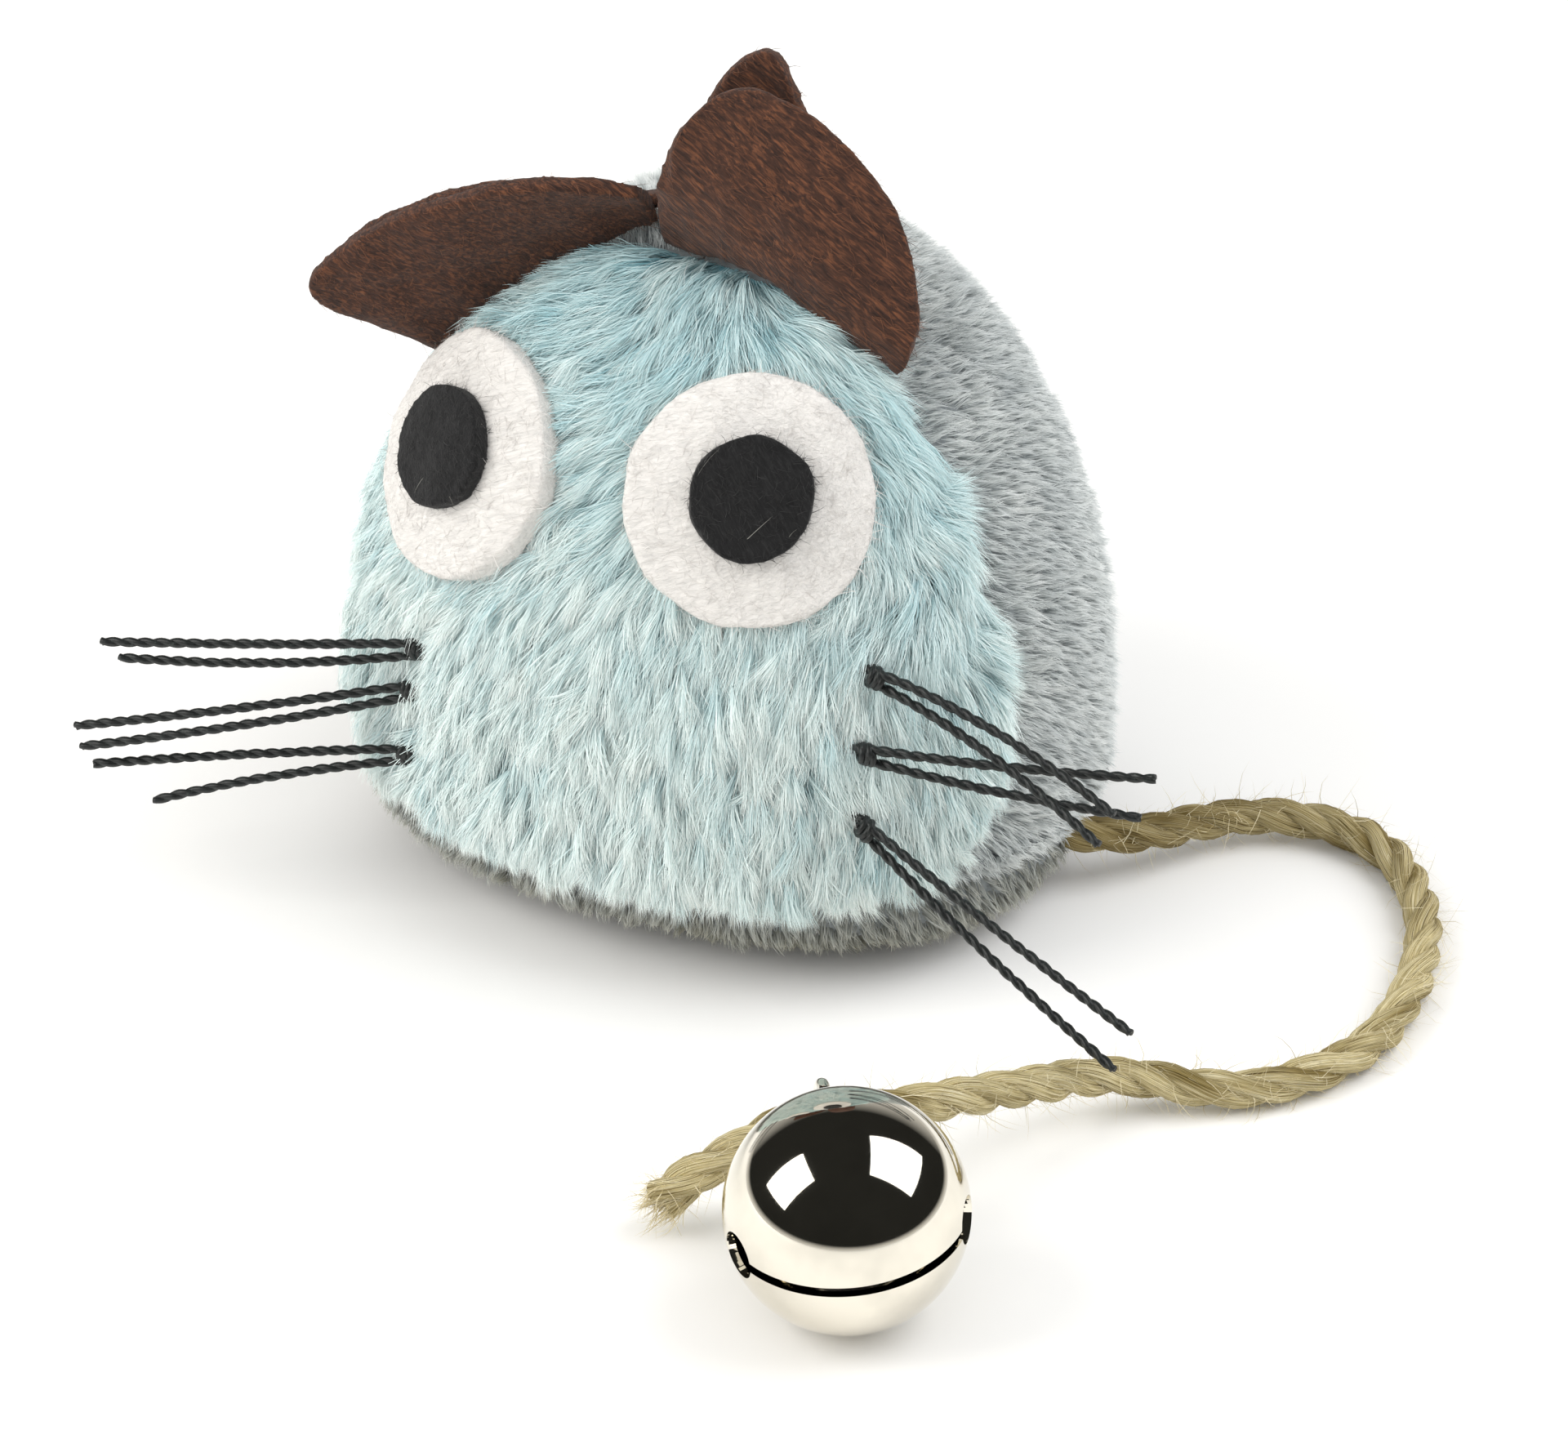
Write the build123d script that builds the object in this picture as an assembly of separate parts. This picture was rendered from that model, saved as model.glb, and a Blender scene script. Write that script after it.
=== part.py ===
"""Stuffed plush mouse toy: pile-fabric skin in four panels, felt ears and eyes,
waxed-thread whiskers, and a jute tail that carries a jingle bell.

Millimetres. +Z is up, the mouse faces -Y and its own left side is +X. The origin is on
the floor, under the middle of the body's width, where the flat belly rests.
"""

import os
from math import cos, pi, radians, sin, sqrt, tan

from build123d import *

# ---- body: a dome with a superellipse plan, which tucks in towards its flat belly ----
HEIGHT = 56.4
HALF_WIDTH = 30.2
FRONT_REACH = 26.4
REAR_REACH = 25.0
WIDEST_SHARE = 0.25  # height of the widest section, as a share of HEIGHT
PLAN_POWER = 2.35
# How full the dome is, how far the base tucks in and how quickly, for each direction.
SIDE_CURVE = (1.88, 0.205, 6.0)
FRONT_CURVE = (2.5, 0.356, 3.8)
REAR_CURVE = (2.35, 0.28, 5.0)
SECTION_SHARES = (0.0, 0.012, 0.035, 0.08, 0.16, 0.28, 0.42, 0.56, 0.69, 0.80, 0.885, 0.945, 0.982)
SECTION_POINTS = 28
FABRIC = 2.0  # pile fabric: backing and the dense foot of its pile
STUFFING_GAP = 0.02

# ---- seams, drawn in the side view and run straight through in X ----
# Each point is (y, z), as shares of FRONT_REACH and of HEIGHT.
FACE_SEAM = (
    (-0.11, 1.14),
    (-0.28, 0.89),
    (-0.355, 0.64),
    (-0.415, 0.37),
    (-0.57, 0.213),
    (-0.87, 0.158),
    (-1.36, 0.145),
)
BELLY_SEAM = ((-1.36, 0.222), (-0.57, 0.152), (0.15, 0.089), (1.3, 0.078))

# ---- felt eyes: a white disc and a black one on it, both following the skin ----
EYE_FELT = 1.5
PUPIL_FELT = 1.2
EYE_DIAMETER = 19.0
PUPIL_DIAMETER = 9.4
# side, disc's middle as shares of HALF_WIDTH and HEIGHT, direction faced as (azimuth, elevation)
EYES = (
    ("left", (0.33, 0.745), (26, 34)),
    ("right", (-0.475, 0.71), (-32, 32)),
)

# ---- felt ears: two leaves each, sewn along the top of the face seam ----
EAR_FELT = 1.3
EAR_CLEARANCE = 1.1
EAR_STEPS = (16, 6)  # points along the root and from the root to the rim
# For each leaf: the points where its root runs over the crown, as shares of HALF_WIDTH and
# FRONT_REACH, with how far its rim stands off each of them, and its middle's forward bulge.
EAR_LEAVES = {
    "ear_left_front": (
        (
            (-0.113, -0.212, (1.0, -3.6, 3.6)),
            (0.026, -0.25, (-1.8, -1.1, 8.8)),
            (0.166, -0.288, (-1.6, 2.2, 12.4)),
            (0.348, -0.303, (0.0, 3.4, 11.4)),
            (0.497, -0.295, (1.0, 2.6, 7.8)),
            (0.583, -0.28, (0.6, 0.2, 1.6)),
        ),
        1.2,
    ),
    "ear_left_back": (
        (
            (-0.099, -0.117, (0.8, -1.6, 4.0)),
            (0.026, -0.163, (-0.4, 1.0, 10.4)),
            (0.166, -0.2, (-0.8, 3.6, 13.4)),
            (0.348, -0.216, (-1.8, 3.2, 8.6)),
            (0.497, -0.208, (-0.4, 2.4, 5.2)),
            (0.583, -0.193, (0.2, 0.4, 1.4)),
        ),
        -0.6,
    ),
    "ear_right_front": (
        (
            (-0.139, -0.205, (0.2, -3.1, 2.3)),
            (-0.278, -0.288, (-2.0, -4.8, 5.4)),
            (-0.444, -0.348, (-4.2, -6.1, 6.9)),
            (-0.583, -0.394, (-6.8, -6.2, 6.9)),
            (-0.669, -0.394, (-7.8, -6.6, 5.2)),
            (-0.709, -0.379, (-2.6, -2.1, 2.0)),
        ),
        0.6,
    ),
    "ear_right_back": (
        (
            (-0.139, -0.114, (0.2, -2.8, 2.6)),
            (-0.278, -0.197, (-2.2, -3.5, 3.9)),
            (-0.444, -0.258, (-4.4, -4.8, 5.2)),
            (-0.583, -0.303, (-7.0, -5.0, 5.1)),
            (-0.669, -0.303, (-8.0, -5.4, 3.6)),
            (-0.709, -0.288, (-2.8, -2.0, 2.4)),
        ),
        0.0,
    ),
}

# ---- whiskers: a doubled waxed thread, knotted on the face and stitched through it ----
THREAD = 0.8
STRAND_SPACING = 1.0
KNOT_DIAMETER = 2.2
STITCH_DEPTH = 1.8
# name, root as shares of HALF_WIDTH and HEIGHT, and for the upper and the lower strand
# its bend and its tip, measured from where it starts
WHISKERS = (
    ("left_1", (0.649, 0.521), ((10.0, -1.2, -0.8), (21.2, -4.2, -4.8)), ((9.6, -2.0, -1.2), (20.6, -5.6, -5.8))),
    ("left_2", (0.649, 0.415), ((10.6, 0.4, 0.6), (22.6, 2.2, 1.8)), ((10.4, 0.2, -0.6), (21.6, 2.0, -0.8))),
    ("left_3", (0.656, 0.305), ((11.2, -3.2, -4.2), (25.0, -8.0, -7.4)), ((10.4, -3.8, -5.0), (24.0, -8.6, -9.6))),
    ("right_1", (-0.543, 0.429), ((-10.8, -4.4, -0.4), (-24.0, -7.4, -1.6)), ((-10.4, -4.6, -1.4), (-22.6, -7.2, -1.8))),
    ("right_2", (-0.56, 0.362), ((-10.8, -4.2, -2.4), (-26.2, -7.4, -6.2)), ((-10.6, -4.4, -2.8), (-25.8, -7.4, -7.0))),
    ("right_3", (-0.576, 0.255), ((-10.6, -3.6, -0.8), (-24.8, -6.4, -4.0)), ((-10.4, -3.6, -1.6), (-19.4, -6.8, -4.8))),
)

# ---- tail: a three-strand jute rope, sewn into the side seam and lying on the floor ----
ROPE_DIAMETER = 3.0
TAIL_CLEARANCE = 0.45  # from the skin to the rope's domed end, all round
TAIL_EXIT = (1.8, 4.0)  # (y, z) of that end
BELL_LIFT = 0.7  # of the rope's middle over the bell's middle
# The corners that the rope's route rounds, from the exit on: x and y measured from the
# exit, and the height over the floor. None is the height at which the bell hangs level.
TAIL_ROUTE = (
    (0.0, 0.0, TAIL_EXIT[1]),
    (8.0, 12.2, 2.0),
    (18.3, 12.9, 1.6),
    (25.0, 4.8, 1.6),
    (27.8, -5.6, 1.6),
    (27.2, -16.4, 1.6),
    (20.6, -24.9, 1.6),
    (11.2, -27.2, 2.8),
    (6.7, -36.8, 6.2),
    (0.5, -48.0, None),
    (-6.3, -52.2, None),
    (-13.5, -55.6, 2.8),
)
ARC_SHARE = 0.45  # of the shorter run beside a corner
BELL_RUN = 9  # the run of the route that the bell hangs on
TAIL_KNOT_DIAMETER = 5.4
TAIL_KNOT_DEPTH = 7.5  # of the knot's middle, behind the exit
TAIL_KNOT_RISE = 20.0  # degrees that the neck climbs, so that the knot clears the belly

# ---- jingle bell ----
BELL_DIAMETER = 18.0
BELL_WALL = 0.6
BELL_DROOP = 3.0  # degrees that the bell's mouth points below the horizontal
BELL_ROLL = 5.0  # degrees that the slot leans
SLOT_WIDTH = 0.8
SLOT_HALF_ANGLE = 70.0
SLOT_HOLE_DIAMETER = 3.6
LOOP_WIRE = 1.0
LOOP_CLEARANCE = 0.3
PELLET_DIAMETER = 4.8
PELLET_GAP = 0.05

# ---- worked out from the above ----
ROPE_RADIUS = ROPE_DIAMETER / 2
BELL_RADIUS = BELL_DIAMETER / 2
LOOP_RADIUS = ROPE_RADIUS + LOOP_CLEARANCE + LOOP_WIRE / 2
LOOP_REACH = BELL_RADIUS + 0.5 + ROPE_RADIUS


def reach(height, largest, curve):
    """How far the body's surface is from the middle, at this height, in one direction."""
    fullness, tuck, tuck_power = curve
    widest = WIDEST_SHARE * HEIGHT
    if height >= widest:
        rise = (height - widest) / (HEIGHT - widest)
        return largest * sqrt(max(0.0, 1 - rise**fullness))
    return largest * (1 - tuck * (1 - height / widest) ** tuck_power)


def reaches(height, offset=0.0):
    return (
        reach(height, HALF_WIDTH, SIDE_CURVE) + offset,
        reach(height, FRONT_REACH, FRONT_CURVE) + offset,
        reach(height, REAR_REACH, REAR_CURVE) + offset,
    )


def section(share, offset):
    """The body's outline at this share of its height, moved outwards by offset."""
    side, front, rear = reaches(share * HEIGHT, offset)
    level = share * HEIGHT + offset * (2 * share - 1)
    points = []
    for i in range(SECTION_POINTS):
        turn = 2 * pi * i / SECTION_POINTS
        along, across = sin(turn), cos(turn)
        depth = rear if along > 0 else front
        x = side * abs(across) ** (2 / PLAN_POWER) * (1 if across > 0 else -1)
        y = depth * abs(along) ** (2 / PLAN_POWER) * (1 if along > 0 else -1)
        points.append((x, y, level))
    return Wire([Edge.make_spline([Vector(*p) for p in points], periodic=True)])


def dome(offset=0.0):
    """The whole body as one solid, moved outwards by offset."""
    outlines = [section(share, offset) for share in SECTION_SHARES]
    apex = Vertex(0, 0, HEIGHT + offset)
    return Solid.make_loft([*outlines, apex])


def outside(x, y, z, offset):
    """Over 1 outside the body moved outwards by offset, under 1 inside it."""
    level = min(max((z + offset) / (HEIGHT + 2 * offset), 0.0), 1.0) * HEIGHT
    side, front, rear = (max(r, 0.01) for r in reaches(level, offset))
    return (abs(x) / side) ** PLAN_POWER + (abs(y) / (rear if y > 0 else front)) ** PLAN_POWER


def bisect(inner, outer, test):
    """Where, from inner to outer, test turns from under 1 to over 1."""
    for _ in range(40):
        middle = (inner + outer) / 2
        if test(middle) < 1:
            inner = middle
        else:
            outer = middle
    return inner


def height_at(x, y, offset=0.0):
    """The height of the body's upper surface over (x, y)."""
    return bisect(HEIGHT * WIDEST_SHARE, HEIGHT + offset, lambda z: outside(x, y, z, offset))


def front_at(x, z, offset=0.0):
    """The y of the body's front surface at (x, z)."""
    return -bisect(0.0, FRONT_REACH + offset + 1, lambda y: outside(x, -y, z, offset))


def side_at(y, z, offset=0.0):
    """The x of the body's left side at (y, z)."""
    return bisect(0.0, HALF_WIDTH + offset + 1, lambda x: outside(x, y, z, offset))


def seam_curve(seam):
    return Edge.make_spline([Vector(0, y * FRONT_REACH, z * HEIGHT) for y, z in seam])


def face_block():
    """All that lies behind or under the face seam."""
    curve = seam_curve(FACE_SEAM)
    top, front = curve @ 0, curve @ 1
    far = 2 * (HEIGHT + REAR_REACH)
    edges = Polyline(front, (0, front.Y, -far), (0, far, -far), (0, far, top.Z), top).edges()
    return thick_through(Wire([curve, *edges]))


def belly_block():
    """All that lies under the belly seam."""
    curve = seam_curve(BELLY_SEAM)
    front, rear = curve @ 0, curve @ 1
    far = 2 * (HEIGHT + REAR_REACH)
    edges = Polyline(rear, (0, rear.Y, -far), (0, front.Y, -far), front).edges()
    return thick_through(Wire([curve, *edges]))


def thick_through(outline):
    """A side-view outline, run right through the body in X."""
    across = 4 * HALF_WIDTH
    return Solid.extrude(Face(outline).moved(Location((-across / 2, 0, 0))), Vector(across, 0, 0))


def half_space(side):
    """The left (+1) or right (-1) half of everything."""
    size = 4 * (HEIGHT + HALF_WIDTH)
    return Solid.make_box(size, size, size).moved(Location((0 if side > 0 else -size, -size / 2, -size / 2)))


def skin_panels():
    """The four panels, which meet along the seams, and the stuffing inside them."""
    inner = dome(-FABRIC)
    skin = dome() - inner
    rear_and_belly, under = face_block(), belly_block()
    face = skin - rear_and_belly
    rest = skin & rear_and_belly
    belly = rest & under
    back = rest - under
    return {
        "face_panel": face,
        "belly_panel": belly,
        "back_panel_left": back & half_space(1),
        "back_panel_right": back & half_space(-1),
        "stuffing": dome(-FABRIC - STUFFING_GAP),
    }


def toward(azimuth, elevation):
    """A unit vector. Azimuth 0 is -Y, straight ahead of the mouse, and 90 its left, +X."""
    a, e = radians(azimuth), radians(elevation)
    return Vector(sin(a) * cos(e), -cos(a) * cos(e), sin(e))


def rod(start, direction, radius, length):
    return Solid.make_cylinder(radius, length, Plane(origin=start, z_dir=direction))


def felt_disc(middle, facing, diameter, lower, upper):
    """A disc of felt between two copies of the body's surface."""
    direction = toward(*facing)
    x, z = middle[0] * HALF_WIDTH, middle[1] * HEIGHT
    punch = rod(Vector(x, front_at(x, z), z) - direction * diameter / 2, direction, diameter / 2, diameter)
    return (punch & upper) - lower


def eyes():
    skin, on_skin, on_eye = dome(), dome(EYE_FELT), dome(EYE_FELT + PUPIL_FELT)
    made = {}
    for side, middle, facing in EYES:
        made[f"eye_white_{side}"] = felt_disc(middle, facing, EYE_DIAMETER, skin, on_skin)
        made[f"pupil_{side}"] = felt_disc(middle, facing, PUPIL_DIAMETER, on_skin, on_eye)
    return made


def smooth(points, share):
    """A point of the Catmull-Rom curve through points, at this share of it."""
    spans = len(points) - 1
    at = min(int(share * spans), spans - 1)
    t = share * spans - at
    a, b = points[max(at - 1, 0)], points[at]
    c, d = points[at + 1], points[min(at + 2, spans)]
    return tuple(
        0.5 * (2 * q + (r - p) * t + (2 * p - 5 * q + 4 * r - s) * t**2 + (3 * q - p - 3 * r + s) * t**3)
        for p, q, r, s in zip(a, b, c, d)
    )


def leaf_point(leaf, along, up):
    """A point of an ear leaf's surface: along its root, and up from the root to the rim."""
    stations, bulge = leaf
    x, y = smooth([(x * HALF_WIDTH, y * FRONT_REACH) for x, y, _ in stations], along)
    lift = Vector(*smooth([rim for _, _, rim in stations], along))
    swell = bulge * 4 * up * (1 - up) * sin(pi * along)
    return Vector(x, y - swell, height_at(x, y, EAR_CLEARANCE)) + lift * up


def ear_leaf(leaf):
    along_steps, up_steps = EAR_STEPS
    grid = [
        [leaf_point(leaf, i / along_steps, j / up_steps) for j in range(up_steps + 1)]
        for i in range(along_steps + 1)
    ]
    return Solid.thicken(Face.make_surface_from_array_of_points(grid, tol=0.02), EAR_FELT)


def surface_normal(x, y, z):
    """The way out of the body at a point of its surface."""
    step = 0.01
    slope = Vector(
        outside(x + step, y, z, 0) - outside(x - step, y, z, 0),
        outside(x, y + step, z, 0) - outside(x, y - step, z, 0),
        outside(x, y, z + step, 0) - outside(x, y, z - step, 0),
    )
    return slope.normalized()


def strand(root, bend, tip):
    points = [root, root + Vector(*bend), root + Vector(*tip)]
    return tube(points, THREAD, route_radii(points))


def whisker(root, strands):
    """One doubled thread: a knot on the face, a stitch through it and two strands."""
    x, z = root[0] * HALF_WIDTH, root[1] * HEIGHT
    y = front_at(x, z)
    out = surface_normal(x, y, z)
    knot_middle = Vector(x, y, z) + out * (KNOT_DIAMETER / 2)
    stitch = rod(knot_middle, -out, THREAD / 2, KNOT_DIAMETER / 2 + STITCH_DEPTH)
    # The ball's poles face forwards and back and its seam is on top, clear of the strands.
    turned = Plane(origin=knot_middle, x_dir=(0, 0, 1), z_dir=(0, 1, 0))
    knot = Solid.make_sphere(KNOT_DIAMETER / 2, turned)
    made = knot.fuse(stitch)
    for side, (bend, tip) in zip((1, -1), strands):
        start = knot_middle + Vector(0, 0, side * STRAND_SPACING / 2)
        made = made.fuse(strand(start, bend, tip))
    return made, stitch, knot


def route_radii(points):
    """The radius of the arc at each inner point of a route, as large as its runs allow."""
    radii = []
    for before, at, after in zip(points, points[1:], points[2:]):
        turn = radians((at - before).get_angle(after - at))
        shorter = min((at - before).length, (after - at).length)
        radii.append(ARC_SHARE * shorter / tan(turn / 2))
    return radii


def tube(points, diameter, radii):
    """A round cord along straight runs that tangent arcs join."""
    path = FilletPolyline(*points, radius=radii)
    start = Plane(origin=path @ 0, z_dir=path % 0)
    return sweep(start * Circle(diameter / 2), path=path).solid()


def tail_exit():
    """The middle of the rope's domed end, just outside the seam."""
    y, z = TAIL_EXIT
    skin = Vector(side_at(y, z), y, z)
    return skin + Vector(ROPE_RADIUS + TAIL_CLEARANCE, 0, 0)


def tail_points():
    level = BELL_RADIUS + BELL_LIFT
    start = tail_exit()
    return [Vector(start.X + x, start.Y + y, level if z is None else z) for x, y, z in TAIL_ROUTE]


def tail():
    """The rope, domed where it leaves the seam, and the stopper knot behind the seam."""
    points = tail_points()
    radii = route_radii(points)
    print("tail radii", [round(r, 1) for r in radii])
    rope = tube(points, ROPE_DIAMETER, radii)
    length = FilletPolyline(*points, radius=radii).length
    print("tail length", round(length, 1), "section x length / volume",
          round(pi * ROPE_RADIUS**2 * length / rope.volume, 4))
    rope = rope.fuse(Solid.make_sphere(ROPE_RADIUS, Plane(origin=points[0])))
    inward = Vector(-cos(radians(TAIL_KNOT_RISE)), 0, sin(radians(TAIL_KNOT_RISE)))
    neck_start = points[0] + inward * (ROPE_RADIUS + TAIL_CLEARANCE)
    neck = rod(neck_start, inward, ROPE_RADIUS, TAIL_KNOT_DEPTH - ROPE_RADIUS - TAIL_CLEARANCE)
    ball = Solid.make_sphere(TAIL_KNOT_DIAMETER / 2, Plane(origin=points[0] + inward * TAIL_KNOT_DEPTH))
    return rope, neck.fuse(ball)


def bell_plane():
    """The bell's own axes: its origin in the middle, Z towards its mouth, X along its slot."""
    start, end = tail_points()[BELL_RUN : BELL_RUN + 2]
    along = (end - start).normalized()
    hung_on = (start + end) * 0.5
    level = Vector(-along.Y, along.X, 0).normalized()
    mouth = (level * cos(radians(BELL_DROOP)) - Vector(0, 0, sin(radians(BELL_DROOP)))).normalized()
    across = along.cross(mouth).cross(mouth) * -1
    hanging = Plane(origin=hung_on + mouth * LOOP_REACH, x_dir=across, z_dir=mouth)
    return hanging, along, hung_on


def bell():
    hanging, along, hung_on = bell_plane()
    shell = Solid.make_sphere(BELL_RADIUS) - Solid.make_sphere(BELL_RADIUS - BELL_WALL)
    slot_start = BELL_RADIUS * cos(radians(SLOT_HALF_ANGLE))
    wide = 2 * BELL_RADIUS
    slot = Solid.make_box(wide, SLOT_WIDTH, wide).moved(Location((-wide / 2, -SLOT_WIDTH / 2, slot_start)))
    shell -= slot
    for side in (-1, 1):
        out = Vector(side * sin(radians(SLOT_HALF_ANGLE)), 0, cos(radians(SLOT_HALF_ANGLE)))
        shell -= rod(out * (BELL_RADIUS / 2), out, SLOT_HOLE_DIAMETER / 2, BELL_RADIUS)
    ring = Solid.make_torus(LOOP_RADIUS, LOOP_WIRE / 2, Plane(origin=(0, 0, -LOOP_REACH), z_dir=(1, 0, 0)))
    loop = ring - Solid.make_sphere(BELL_RADIUS)
    pellet_radius = PELLET_DIAMETER / 2
    drop = BELL_RADIUS - BELL_WALL - pellet_radius - PELLET_GAP
    pellet = Solid.make_sphere(pellet_radius, Plane(origin=hanging.origin - Vector(0, 0, drop)))
    leaned = Plane(hanging.origin, x_dir=hanging.x_dir.rotate(Axis(hanging.origin, hanging.z_dir), BELL_ROLL),
                   z_dir=hanging.z_dir)
    print("bell middle", hanging.origin, "mouth", hanging.z_dir, "rope at loop", hung_on, "along", along)
    print("tail exit", tail_exit())
    return {
        "bell_shell": leaned.location * shell,
        "bell_loop": hanging.location * loop,
        "bell_pellet": pellet,
    }


def main():
    parts = skin_panels()
    parts |= eyes()
    for name, leaf in EAR_LEAVES.items():
        parts[name] = ear_leaf(leaf)
    for name, root, *strands in WHISKERS:
        parts[f"whisker_{name}"], stitch, knot = whisker(root, strands)
        parts["face_panel"] = parts["face_panel"] - stitch - knot
    parts["tail_rope"], parts["tail_knot"] = tail()
    for name in ("belly_panel", "back_panel_left", "stuffing"):
        parts[name] = parts[name] - parts["tail_knot"]
    parts |= bell()

    os.makedirs("parts", exist_ok=True)
    for name, shape in parts.items():
        solids = shape.solids()
        export_step(solids[0] if len(solids) == 1 else Compound(children=solids), f"parts/{name}.step")
        box = shape.bounding_box()
        print(f"{name:20s} solids {len(solids)} volume {shape.volume:9.1f}"
              f"  from {tuple(round(v, 1) for v in box.min)} to {tuple(round(v, 1) for v in box.max)}")


main()
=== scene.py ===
"""A stuffed plush mouse toy: pile fur, felt, waxed thread, jute and a chromed bell over the frame.

Metres, in the frame's own axes: +Z is up, the mouse faces -Y and its own left side is +X.
"""

from math import cos, pi, radians, sin

import bmesh
import bpy
import numpy as np
from mathutils import Euler, Matrix, Vector, noise
from mathutils.bvhtree import BVHTree
from mathutils.kdtree import KDTree


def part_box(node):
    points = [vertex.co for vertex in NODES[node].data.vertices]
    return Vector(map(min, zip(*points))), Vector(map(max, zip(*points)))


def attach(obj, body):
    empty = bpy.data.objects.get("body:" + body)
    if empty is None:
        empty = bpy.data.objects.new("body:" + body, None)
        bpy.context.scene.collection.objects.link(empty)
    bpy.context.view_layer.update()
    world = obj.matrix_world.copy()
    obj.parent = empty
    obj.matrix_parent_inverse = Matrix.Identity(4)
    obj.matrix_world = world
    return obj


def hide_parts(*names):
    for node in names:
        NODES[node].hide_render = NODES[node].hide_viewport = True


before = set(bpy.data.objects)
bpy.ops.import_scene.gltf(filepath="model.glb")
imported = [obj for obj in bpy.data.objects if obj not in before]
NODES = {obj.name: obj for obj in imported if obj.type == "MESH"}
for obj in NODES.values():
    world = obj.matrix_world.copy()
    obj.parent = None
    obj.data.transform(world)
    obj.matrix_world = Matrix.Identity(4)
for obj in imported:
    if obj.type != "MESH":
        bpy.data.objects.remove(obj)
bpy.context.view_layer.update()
noise.seed_set(5)  # noise_vector takes its offsets from the clock otherwise
MM = 0.001

# ---- sizes that come from the frame ----
PANELS = ("face_panel", "back_panel_left", "back_panel_right", "belly_panel")
HALF_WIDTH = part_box("back_panel_left")[1].x
HEIGHT = max(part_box(panel)[1].z for panel in PANELS)
BODY_MIDDLE = Vector((0, 0, 0.36 * HEIGHT))

# ---- plush ----
FABRIC = 2.0 * MM  # thickness of the frame's panels
FACE_PILE = 1.55 * MM  # how deep the backing lies under the outer shape
GREY_PILE = 1.25 * MM
SEAM_TUCK = 0.7 * MM
SEAM_REACH = 2.6 * MM
FLOOR_GAP = 0.08 * MM
OVERHANG = 0.9 * MM  # how far the pile reaches over a seam

# Where the face is brushed: x and z as shares of HALF_WIDTH and HEIGHT, and the way the pile lies.
FACE_STROKES = (
    ((-0.27, 0.96), (-0.9, 0.1, -0.4)),
    ((-0.31, 0.89), (-0.9, 0.0, -0.45)),
    ((-0.13, 0.98), (-0.8, -0.5, -0.3)),
    ((0.0, 0.97), (-0.1, -0.9, -0.4)),
    ((0.17, 0.93), (0.3, -0.8, -0.6)),
    ((0.25, 0.95), (0.9, 0.1, -0.3)),
    ((0.44, 0.89), (0.8, 0.1, -0.6)),
    ((0.56, 0.84), (0.7, -0.1, -0.7)),
    ((0.63, 0.79), (0.6, -0.1, -0.8)),
    ((0.27, 0.89), (0.3, -0.7, -0.7)),
    ((0.11, 0.88), (-0.7, -0.6, -0.5)),
    ((0.02, 0.83), (-0.8, -0.4, -0.5)),
    ((-0.14, 0.83), (-0.9, -0.2, -0.4)),
    ((-0.15, 0.76), (-0.8, -0.3, -0.6)),
    ((-0.14, 0.68), (-0.6, -0.2, -0.7)),
    ((-0.05, 0.63), (-0.5, -0.2, -0.8)),
    ((-0.23, 0.56), (-0.4, -0.1, -0.9)),
    ((-0.59, 0.46), (-0.3, 0.0, -1.0)),
    ((-0.65, 0.26), (-0.3, 0.2, -1.0)),
    ((-0.9, 0.5), (-0.1, 0.5, -0.9)),
    ((-0.07, 0.39), (-0.1, -0.1, -1.0)),
    ((0.26, 0.30), (0.0, 0.0, -1.0)),
    ((-0.31, 0.19), (-0.2, 0.1, -1.0)),
    ((0.18, 0.56), (-0.1, -0.2, -1.0)),
    ((0.37, 0.55), (0.0, -0.2, -1.0)),
    ((0.53, 0.60), (-0.2, -0.4, -0.9)),
    ((0.62, 0.74), (0.0, -0.7, -0.7)),
    ((0.66, 0.62), (-0.3, -0.7, -0.6)),
    ((0.74, 0.60), (0.2, -0.3, -0.9)),
    ((0.77, 0.67), (0.4, -0.1, -0.9)),
    ((0.72, 0.73), (0.5, 0.8, -0.4)),
    ((0.89, 0.54), (0.4, 0.5, -0.8)),
    ((0.88, 0.45), (0.3, 0.15, -0.9)),
    ((0.93, 0.37), (0.2, 0.2, -1.0)),
    ((0.74, 0.30), (0.1, 0.0, -1.0)),
    ((0.89, 0.25), (0.2, 0.3, -1.0)),
    ((0.95, 0.12), (0.1, 0.6, -0.8)),
    ((0.56, 0.21), (0.0, 0.0, -1.0)),
)
STROKE_REACH = 3.2 * MM

# ---- felt eyes, as (middle as shares of HALF_WIDTH and HEIGHT, direction faced) ----
EYES = {"left": ((0.33, 0.745), (26, 34)), "right": ((-0.475, 0.71), (-32, 32))}
EYE_DIAMETER = 19.0 * MM

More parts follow.
